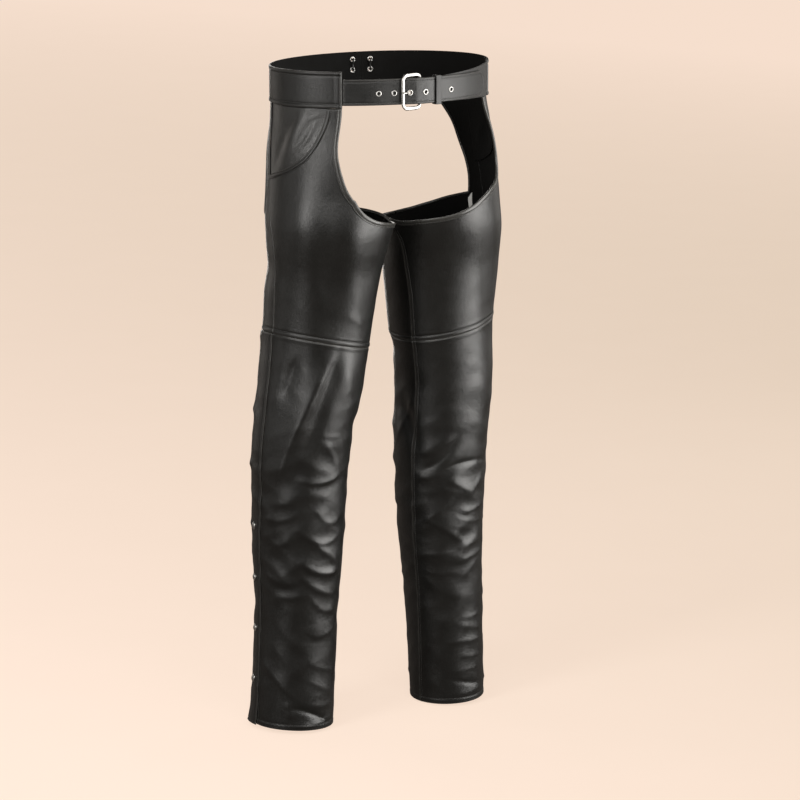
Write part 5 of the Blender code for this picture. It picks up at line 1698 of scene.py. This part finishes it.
def make_eyelets():
    """The rolled eyelets of the strap and of the waistband's back, with painted shade inside: the
    faces of each bore take the dark belt leather instead of metal.
    """
    template = drawn_out("eyelet", EYELET_PROFILE, True, SATIN_PLATING)
    # painted shade: the bore's inner faces are given dark leather in place of plating
    template.data.materials.append(BELT_LEATHER)
    for face in template.data.polygons:
        if math.hypot(*face.center[:2]) < EYELET_BORE and abs(face.normal.z) < 0.2:
            face.material_index = 1
    set_copies(template, "strap_eyelet", "metal",
               [(number, Vector(strap_place(angle, STRAP_WALL)), strap_way(angle))
                for number, angle in enumerate(EYELET_ANGLES, 1)])
    set_copies(template, "back_eyelet", "metal",
               [(f"{tag}_{number}", ring_spot(angle, level, BAND_WALL), ring_way(angle)[1])
                for tag, angle in zip(("right", "left"), back_angles())
                for number, level in enumerate(BACK_EYELET_HEIGHTS, 1)])
    bpy.data.objects.remove(template, do_unlink=True)


def flap_spot(side, angle, height):
    """A place on the closing flap's outer face."""
    lift = float(relief(side, np.array([angle]), np.array([height]))[0])
    return Vector(on_form(side, np.array(angle), np.array(height), OVER + LEATHER + lift))


def make_snaps(side, flap_angle, flap_height):
    """The domed snaps down the middle of the closing flap."""
    template = drawn_out("snap", SNAP_PROFILE, False, PLATING)
    middle = flap_angle.shape[1] // 2
    spots = []
    for number, height in enumerate(SNAP_HEIGHTS, 1):
        angle = float(np.interp(-height, -flap_height[:, middle], flap_angle[:, middle]))
        round_way = flap_spot(side, angle + 2, height) - flap_spot(side, angle - 2, height)
        up_way = flap_spot(side, angle, height + 0.004) - flap_spot(side, angle, height - 0.004)
        out = round_way.cross(up_way).normalized() * side
        spots.append((f"{TAGS[side]}_{number}", flap_spot(side, angle, height), out))
    set_copies(template, "flap_snap", "cap", spots)
    bpy.data.objects.remove(template, do_unlink=True)


def frame_spots():
    """The middles of the buckle frame's two bars, the way across and the way out."""
    hinge = ring_spot(HINGE_ANGLE, FRAME_MIDDLE, HINGE_OUT)
    lift = float(STRAP_RISE_AT(BAR_ANGLE)) + STRAP_WALL + GAP * 2 + FRAME_BAR_THICK
    bar = ring_spot(BAR_ANGLE, FRAME_MIDDLE, lift)
    across = (bar - hinge).normalized()
    return hinge, bar, across, UP.cross(across)


def make_buckle_frame():
    """A rounded frame: a torus whose quarters are moved apart."""
    hinge, bar, across, _ = frame_spots()
    width = (bar - hinge).length
    bpy.ops.object.select_all(action="DESELECT")
    bpy.ops.mesh.primitive_torus_add(major_segments=40, minor_segments=14,
                                     major_radius=FRAME_CORNER, minor_radius=FRAME_BAR_HALF,
                                     rotation=(0, 0, math.radians(4.5)))
    piece = bpy.context.object
    piece.name = "buckle_frame_metal"
    bpy.ops.object.transform_apply(location=True, rotation=True, scale=True)
    for axis, reach in ((0, width / 2 - FRAME_CORNER), (1, FRAME_HALF_HEIGHT - FRAME_CORNER)):
        for way in (-1, 1):
            pick_points(piece, lambda point: point[axis] * way > 0)
            move = [0.0, 0.0, 0.0]
            move[axis] = way * reach
            bpy.ops.transform.translate(value=move)
            bpy.ops.object.mode_set(mode="OBJECT")
    # the hinge bar is thinner, so that the strap can fold round it
    edge = -width / 2
    pick_points(piece, lambda point: point[0] < edge + FRAME_BAR_HALF * 1.2)
    bpy.ops.transform.resize(value=(HINGE_BAR_HALF / FRAME_BAR_HALF, 1.0, 1.0),
                             center_override=(edge, 0.0, 0.0))
    bpy.ops.mesh.select_all(action="SELECT")
    bpy.ops.transform.resize(value=(1.0, 1.0, FRAME_BAR_THICK / FRAME_BAR_HALF))
    bpy.ops.object.mode_set(mode="OBJECT")
    set_down(finished(piece, PLATING), (hinge + bar) / 2, across, UP, across.cross(UP))
    kept(piece, "metal", "buckle_frame")


def bent_wire(name, route, thickness, finish, closed=False):
    """A round wire or thong along a route."""
    curve = bpy.data.curves.new(name, "CURVE")
    curve.dimensions = "3D"
    curve.bevel_depth = thickness
    curve.bevel_resolution = 4
    curve.resolution_u = 5
    curve.use_fill_caps = not closed
    spline = curve.splines.new("BEZIER")
    spline.bezier_points.add(len(route) - 1)
    for spot, place in zip(spline.bezier_points, route):
        spot.co = place
        spot.handle_left_type = spot.handle_right_type = "AUTO"
    spline.use_cyclic_u = closed
    wire = bpy.data.objects.new(name, curve)
    bpy.context.scene.collection.objects.link(wire)
    only(wire)
    bpy.ops.object.convert(target="MESH")
    return finished(bpy.context.object, finish)


def make_prong():
    """The prong: curled round the hinge bar, up through an eyelet and onto the bar."""
    hinge, bar, across, out_way = frame_spots()
    drop = Vector((0, 0, EYELET_HEIGHT - FRAME_MIDDLE))
    hinge, bar = hinge + drop, bar + drop
    curl = HINGE_BAR_HALF + PRONG_CLEAR + PRONG_RADIUS
    way = -ring_way(HINGE_ANGLE)[0]
    lift = UP.cross(way)
    route = [hinge + way * (curl * math.cos(turn)) + lift * (curl * math.sin(turn))
             for turn in (math.radians(step) for step in PRONG_CURL)]
    eyelet = EYELET_ANGLES[PRONG_EYELET]
    under = float(STRAP_RISE_AT(eyelet))
    steps = ((-4.0, HINGE_OUT, 0.0024), (-0.9, under, -0.0018), (-0.1, under, STRAP_WALL / 2),
             (0.5, under + STRAP_WALL, 0.0028))
    route.extend(ring_spot(eyelet + ahead, EYELET_HEIGHT, base + rise)
                 for ahead, base, rise in steps)
    over = FRAME_BAR_THICK + GAP + PRONG_RADIUS
    route.extend(bar + across * past + out_way * over for past in (-0.0030, 0.0016))
    piece = bent_wire("buckle_prong_metal", route, PRONG_RADIUS, PLATING)
    kept(piece, "metal", "buckle_prong")


def thickened(piece, wall, offset, rounded=None):
    """Gives an open sheet its thickness, and rounds its edges."""
    steps = [("SOLIDIFY", {"thickness": wall, "offset": offset})]
    if rounded:
        steps.append(("BEVEL", {"width": rounded, "segments": 3, "limit_method": "ANGLE"}))
    only(piece)
    for kind, settings in steps:
        step = piece.modifiers.new(kind.lower(), kind)
        for label, value in settings.items():
            setattr(step, label, value)
        bpy.ops.object.modifier_apply(modifier=step.name)


def under_strap_edges(angle):
    """The under strap's top and bottom edges, wider toward the band."""
    share = min(max((HINGE_ANGLE - angle) / (HINGE_ANGLE - BAND_LEFT_END), 0.0), 1.0)
    return [near + (far - near) * share
            for near, far in zip(UNDER_STRAP_AT_HINGE, UNDER_STRAP_AT_BAND)]


def make_under_strap():
    """The strap beneath: folded round the hinge bar, then sewn to the band."""
    hinge = ring_spot(HINGE_ANGLE, 0.0, HINGE_OUT)
    along, out = ring_way(HINGE_ANGLE)
    bend = HINGE_BAR_HALF + FOLD_CLEAR + FOLD_PLY / 2
    end = BAND_LEFT_END + ring_degrees(BAND_LEFT_END, GAP)
    path, angles = [], []
    for angle in np.linspace(FOLD_ENDS[0], FOLD_ENDS[1], 5):
        path.append(ring_spot(angle, 0.0, -FOLD_BACK - FOLD_PLY / 2))
        angles.append(angle)
    for step in range(FOLD_STEPS):
        turn = math.radians(FOLD_FROM - FOLD_TURN * step / (FOLD_STEPS - 1))
        path.append(hinge + along * (bend * math.cos(turn + math.pi))
                    + out * (bend * math.sin(turn)))
        angles.append(HINGE_ANGLE)
    for angle in np.linspace(UNDER_STRAP_FROM, end, UNDER_STRAP_STEPS):
        path.append(ring_spot(angle, 0.0, BAND_WALL - UNDER_STRAP_WALL / 2))
        angles.append(angle)
    share = spread(UNDER_STRAP_HEIGHT, 11)
    points = []
    for spot, angle in zip(path, angles):
        top, low = under_strap_edges(angle)
        points.extend((spot.x, spot.y, low + (top - low) * part) for part in share)
    piece = mesh_object("under_strap_leather", points, quads(len(path), len(share)),
                        [BELT_LEATHER])
    thickened(piece, UNDER_STRAP_WALL, 0.0, ROUNDED)
    finished(piece, BELT_LEATHER)
    kept(piece, "leather", "belt_strap_left")


def make_keeper():
    """The loop that holds the strap down: a sleeve with rounded edges."""
    low_out = BAND_WALL - UNDER_STRAP_WALL - KEEPER_CLEAR - KEEPER_WALL
    high_out = (BAND_WALL + GAP + STRAP_WALL + KEEPER_CLEAR + KEEPER_OVER_EYELET
                + KEEPER_WALL)
    top = STRAP_MIDDLE + STRAP_HALF + KEEPER_CLEAR + KEEPER_WALL
    low = STRAP_MIDDLE - STRAP_HALF - 2 * KEEPER_CLEAR - KEEPER_WALL
    middle = sum(KEEPER_ANGLES) / 2
    ends = [ring_spot(angle, 0.0, 0.0) for angle in KEEPER_ANGLES]
    long = (ends[0] - ends[1]).length
    bpy.ops.object.select_all(action="DESELECT")
    bpy.ops.mesh.primitive_cube_add(size=1.0)
    piece = bpy.context.object
    piece.name = "belt_keeper_leather"
    piece.scale = (long, top - low, high_out - low_out)
    bpy.ops.object.transform_apply(location=True, rotation=True, scale=True)
    bpy.ops.object.mode_set(mode="EDIT")
    bpy.ops.mesh.select_mode(type="FACE")
    bpy.ops.mesh.select_all(action="DESELECT")
    bpy.ops.object.mode_set(mode="OBJECT")
    for face in piece.data.polygons:
        face.select = abs(face.normal.x) > 0.5
    bpy.ops.object.mode_set(mode="EDIT")
    bpy.ops.mesh.delete(type="FACE")
    bpy.ops.object.mode_set(mode="OBJECT")
    thickened(piece, KEEPER_WALL, -1.0, ROUNDED)
    place = ring_spot(middle, (top + low) / 2, (low_out + high_out) / 2)
    set_down(finished(piece, BELT_LEATHER), place, *along_edge(ring_way(middle)[1]))
    kept(piece, "leather", "belt_keeper")


def make_lace():
    """A round thong: crossed outside the slit, upright inside, through four eyelets."""
    near, far = back_angles()
    high, low = BACK_EYELET_HEIGHTS
    rest = BAND_WALL + EYELET_RIM + GAP + LACE_RADIUS
    inside = -GAP - LACE_RADIUS - EYELET_RIM
    over = rest + 2 * LACE_RADIUS + GAP

    def through(angle, level, outward_first):
        steps = [(angle, level, rest * 0.92), (angle, level, 0.0015), (angle, level, inside)]
        return steps if outward_first else steps[::-1]

    def crossing(start, end, middle_out):
        lean = []
        for share in LACE_SHARES:
            bump = math.exp(-((share - 0.5) / LACE_HUMP)**2)
            lean.append((start[0] + (end[0] - start[0]) * share,
                         start[1] + (end[1] - start[1]) * share,
                         rest + (middle_out - rest) * bump))
        return lean

    route = (through(near, high, False) + crossing((near, high), (far, low), rest)
             + through(far, low, True) + [(far, (high + low) / 2, inside)]
             + through(far, high, False) + crossing((far, high), (near, low), over)
             + through(near, low, True) + [(near, (high + low) / 2, inside)])
    piece = bent_wire("back_lace_thong",
                      [ring_spot(angle, level, out) for angle, level, out in route],
                      LACE_RADIUS, BELT_LEATHER, closed=True)
    kept(piece, "leather", "back_lace")


# the care label: the corners of its top edge, then of its lower edge, its wall, the way
# that its curl faces, and its lattice
LABEL_TOP = ((0.1865, 0.0207, -0.1960), (0.1840, 0.0282, -0.2051))
LABEL_LOW = ((0.1873, 0.0212, -0.2161), (0.1853, 0.0268, -0.2229))
LABEL_WALL = 0.0004
LABEL_INWARD = (-0.93, -0.36, 0.0)
LABEL_ROWS = 13
LABEL_COLUMNS = 9


def make_label():
    """A blank tape tab inside the left back panel, a little curled."""
    side = np.linspace(0, 1, LABEL_COLUMNS)[None, :, None]
    down = np.linspace(0, 1, LABEL_ROWS)[:, None, None]
    top, low = [np.array(line) for line in (LABEL_TOP, LABEL_LOW)]
    upper = top[0] + (top[1] - top[0]) * side
    lower = low[0] + (low[1] - low[0]) * side
    inward = np.array(LABEL_INWARD)
    curl = 0.0010 * np.sin(np.pi * down) + 0.0004 * np.sin(2 * np.pi * side)
    points = (upper + (lower - upper) * down + inward * curl).reshape(-1, 3)
    piece = mesh_object("care_label_tape", points, quads(LABEL_ROWS, LABEL_COLUMNS), [TAPE])
    thickened(piece, LABEL_WALL, 0.0)
    finished(piece, TAPE)
    kept(piece, "tape", "care_label")


# ---------------------------------------------------------------- studio

CAMERA_TURN = math.radians(33.0)
CAMERA_DISTANCE = 6.0
CAMERA_HEIGHT = 0.71
CAMERA_DOWN = 0.2006
CAMERA_SWING = 0.0049
CAMERA_LENS = 174.24
FLOOR = -1.0242
FLOOR_SIZE = 70.0
# the paper's glow, near and away: a painted gradient of light across the floor
FLOOR_PAINTED_LIGHT_NEAR = (0.74, 0.60, 0.48)
FLOOR_PAINTED_LIGHT_AWAY = (0.90, 0.72, 0.60)
PAPER = (0.22, 0.20, 0.185, 1.0)
HORIZON = (0.915, 0.735, 0.61, 1.0)
ROOM = (1.0, 0.90, 0.82, 1.0)

DAY = (1.0, 0.98, 0.95)
WARM = (1.0, 0.96, 0.91)
# the light boxes, all aimed at the axis. The close ones light the leather alone
LIGHTS = table(
    "name place aim_height width height brightness colour close",
    ("side box", (0.98, -1.2, 0.28), 0.28, 1.5, 2.44, 6.0, DAY, True),
    ("front box", (-2.10, -0.70, 0.72), 0.72, 0.75, 1.9, 7.8, DAY, False),
    ("low front box", (-2.05, -0.80, -0.62), -0.62, 0.7, 0.76, 2.4, DAY, True),
    ("high box", (-1.15, -2.00, 1.05), -0.55, 2.6, 0.8, 4.5, DAY, False),
    ("rim box", (-0.80, 2.30, 0.15), -0.2, 1.0, 2.0, 0.9, (1.0, 0.94, 0.87), False),
    ("right box", (2.50, 0.50, 0.15), -0.2, 1.2, 2.0, 1.0, WARM, False),
    ("back box", (1.1, 2.7, -0.1), -0.1, 0.8, 1.8, 4.0, WARM, True),
    ("left box", (-2.3, 0.9, -0.1), -0.1, 1.2, 1.8, 0.8, (1.0, 0.97, 0.93), True),
    ("low side box", (0.93, -1.14, -0.60), -0.60, 1.5, 0.72, 2.7, DAY, True),
)


def floor_finish_with_painted_light():
    """Warm pale backdrop paper, faintly mottled, glowing with painted light: its glow shifts
    between two tints across the floor and is even far away, and camera rays see it much brighter
    than other rays.
    """
    made, tree, shader = new_finish("pale studio paper with painted light", specular=0.1)
    turned = add_node(tree, "Mapping", Rotation=(0.0, 0.0, CAMERA_TURN),
                      Location=(-4.0, -0.2, 0.0), Scale=(1.0, 0.2, 0.0))
    length = add_node(tree, "VectorMath", operation="LENGTH")
    tree.links.new(add_node(tree, "TexCoord").outputs["Object"], turned.inputs["Vector"])
    tree.links.new(turned.outputs["Vector"], length.inputs[0])
    away = mapped(tree, length.outputs["Value"], 2.6, 4.6, 0.0, 1.0)
    cloud = texture(tree, "Noise", Scale=5.0, Detail=5.0, Roughness=0.6)
    mask = maths(tree, "ADD", away, maths(tree, "MULTIPLY", cloud, 0.12), clamp=True)
    seen = add_node(tree, "LightPath").outputs["Is Camera Ray"]
    # painted light: the glow blends across the floor between the near and away tints
    tree.links.new(blend_colours(tree, mask, FLOOR_PAINTED_LIGHT_NEAR, FLOOR_PAINTED_LIGHT_AWAY),
                   shader.inputs["Emission Color"])
    tree.links.new(mapped(tree, seen, 0.0, 1.0, 0.06, 1.0), shader.inputs["Emission Strength"])
    shader.inputs["Base Color"].default_value = PAPER
    shader.inputs["Roughness"].default_value = 0.9
    return made


def make_floor():
    """The paper that the studio stands on."""
    bpy.ops.object.select_all(action="DESELECT")
    bpy.ops.mesh.primitive_plane_add(size=FLOOR_SIZE, location=(0, 0, FLOOR))
    floor = bpy.context.object
    floor.name = "studio_floor"
    floor.data.materials.append(floor_finish_with_painted_light())
    return floor


def make_world():
    """Warm paper as far as the eye sees, and a dim room for the leather to reflect."""
    world = bpy.data.worlds.new("studio")
    bpy.context.scene.world = world
    world.use_nodes = True
    tree = world.node_tree
    tree.nodes.clear()
    mixed = add_node(tree, "MixShader")
    result = add_node(tree, "OutputWorld")
    tree.links.new(add_node(tree, "LightPath").outputs["Is Camera Ray"], mixed.inputs["Fac"])
    for socket, colour, strength in ((1, ROOM, 0.08), (2, HORIZON, 1.0)):
        shade = add_node(tree, "Background", Color=colour, Strength=strength)
        tree.links.new(shade.outputs[0], mixed.inputs[socket])
    tree.links.new(mixed.outputs[0], result.inputs["Surface"])


def placed(name, data, place):
    """An object of some data, at a place."""
    made = bpy.data.objects.new(name, data)
    bpy.context.scene.collection.objects.link(made)
    made.location = place
    return made


def make_lights(floor):
    """The boxes that stand close by leave the paper out, so it stays even."""
    leather_alone = bpy.data.collections.new("all but the paper")
    leather_alone.objects.link(floor)
    leather_alone.collection_objects[0].light_linking.link_state = "EXCLUDE"
    for box in LIGHTS:
        light = bpy.data.lights.new(box["name"], "AREA")
        light.shape = "RECTANGLE"
        light.size, light.size_y = box["width"], box["height"]
        light.energy = box["brightness"] * math.pi * box["width"] * box["height"]
        light.color = box["colour"]
        lamp = placed(box["name"], light, box["place"])
        way = Vector((0, 0, box["aim_height"])) - Vector(box["place"])
        lamp.rotation_euler = way.to_track_quat("-Z", "Y").to_euler()
        if box["close"]:
            lamp.light_linking.receiver_collection = leather_alone


def make_camera():
    """A long lens, a little to the right of the front and looking slightly down."""
    view = bpy.data.cameras.new("camera")
    camera = placed("camera", view, (-CAMERA_DISTANCE * math.sin(CAMERA_TURN),
                                     -CAMERA_DISTANCE * math.cos(CAMERA_TURN), CAMERA_HEIGHT))
    camera.rotation_euler = (math.pi / 2 - CAMERA_DOWN, 0.0, -(CAMERA_TURN + CAMERA_SWING))
    view.lens = CAMERA_LENS
    view.sensor_width = 36.0
    view.clip_end = 120.0
    bpy.context.scene.camera = camera


# ---------------------------------------------------------------- all of it

make_camera()
make_world()
make_lights(make_floor())
bpy.context.scene.view_settings.view_transform = "Standard"
make_leg(RIGHT)
make_leg(LEFT)
make_waist()
make_under_strap()
make_keeper()
make_eyelets()
make_buckle_frame()
make_prong()
make_lace()
make_label()
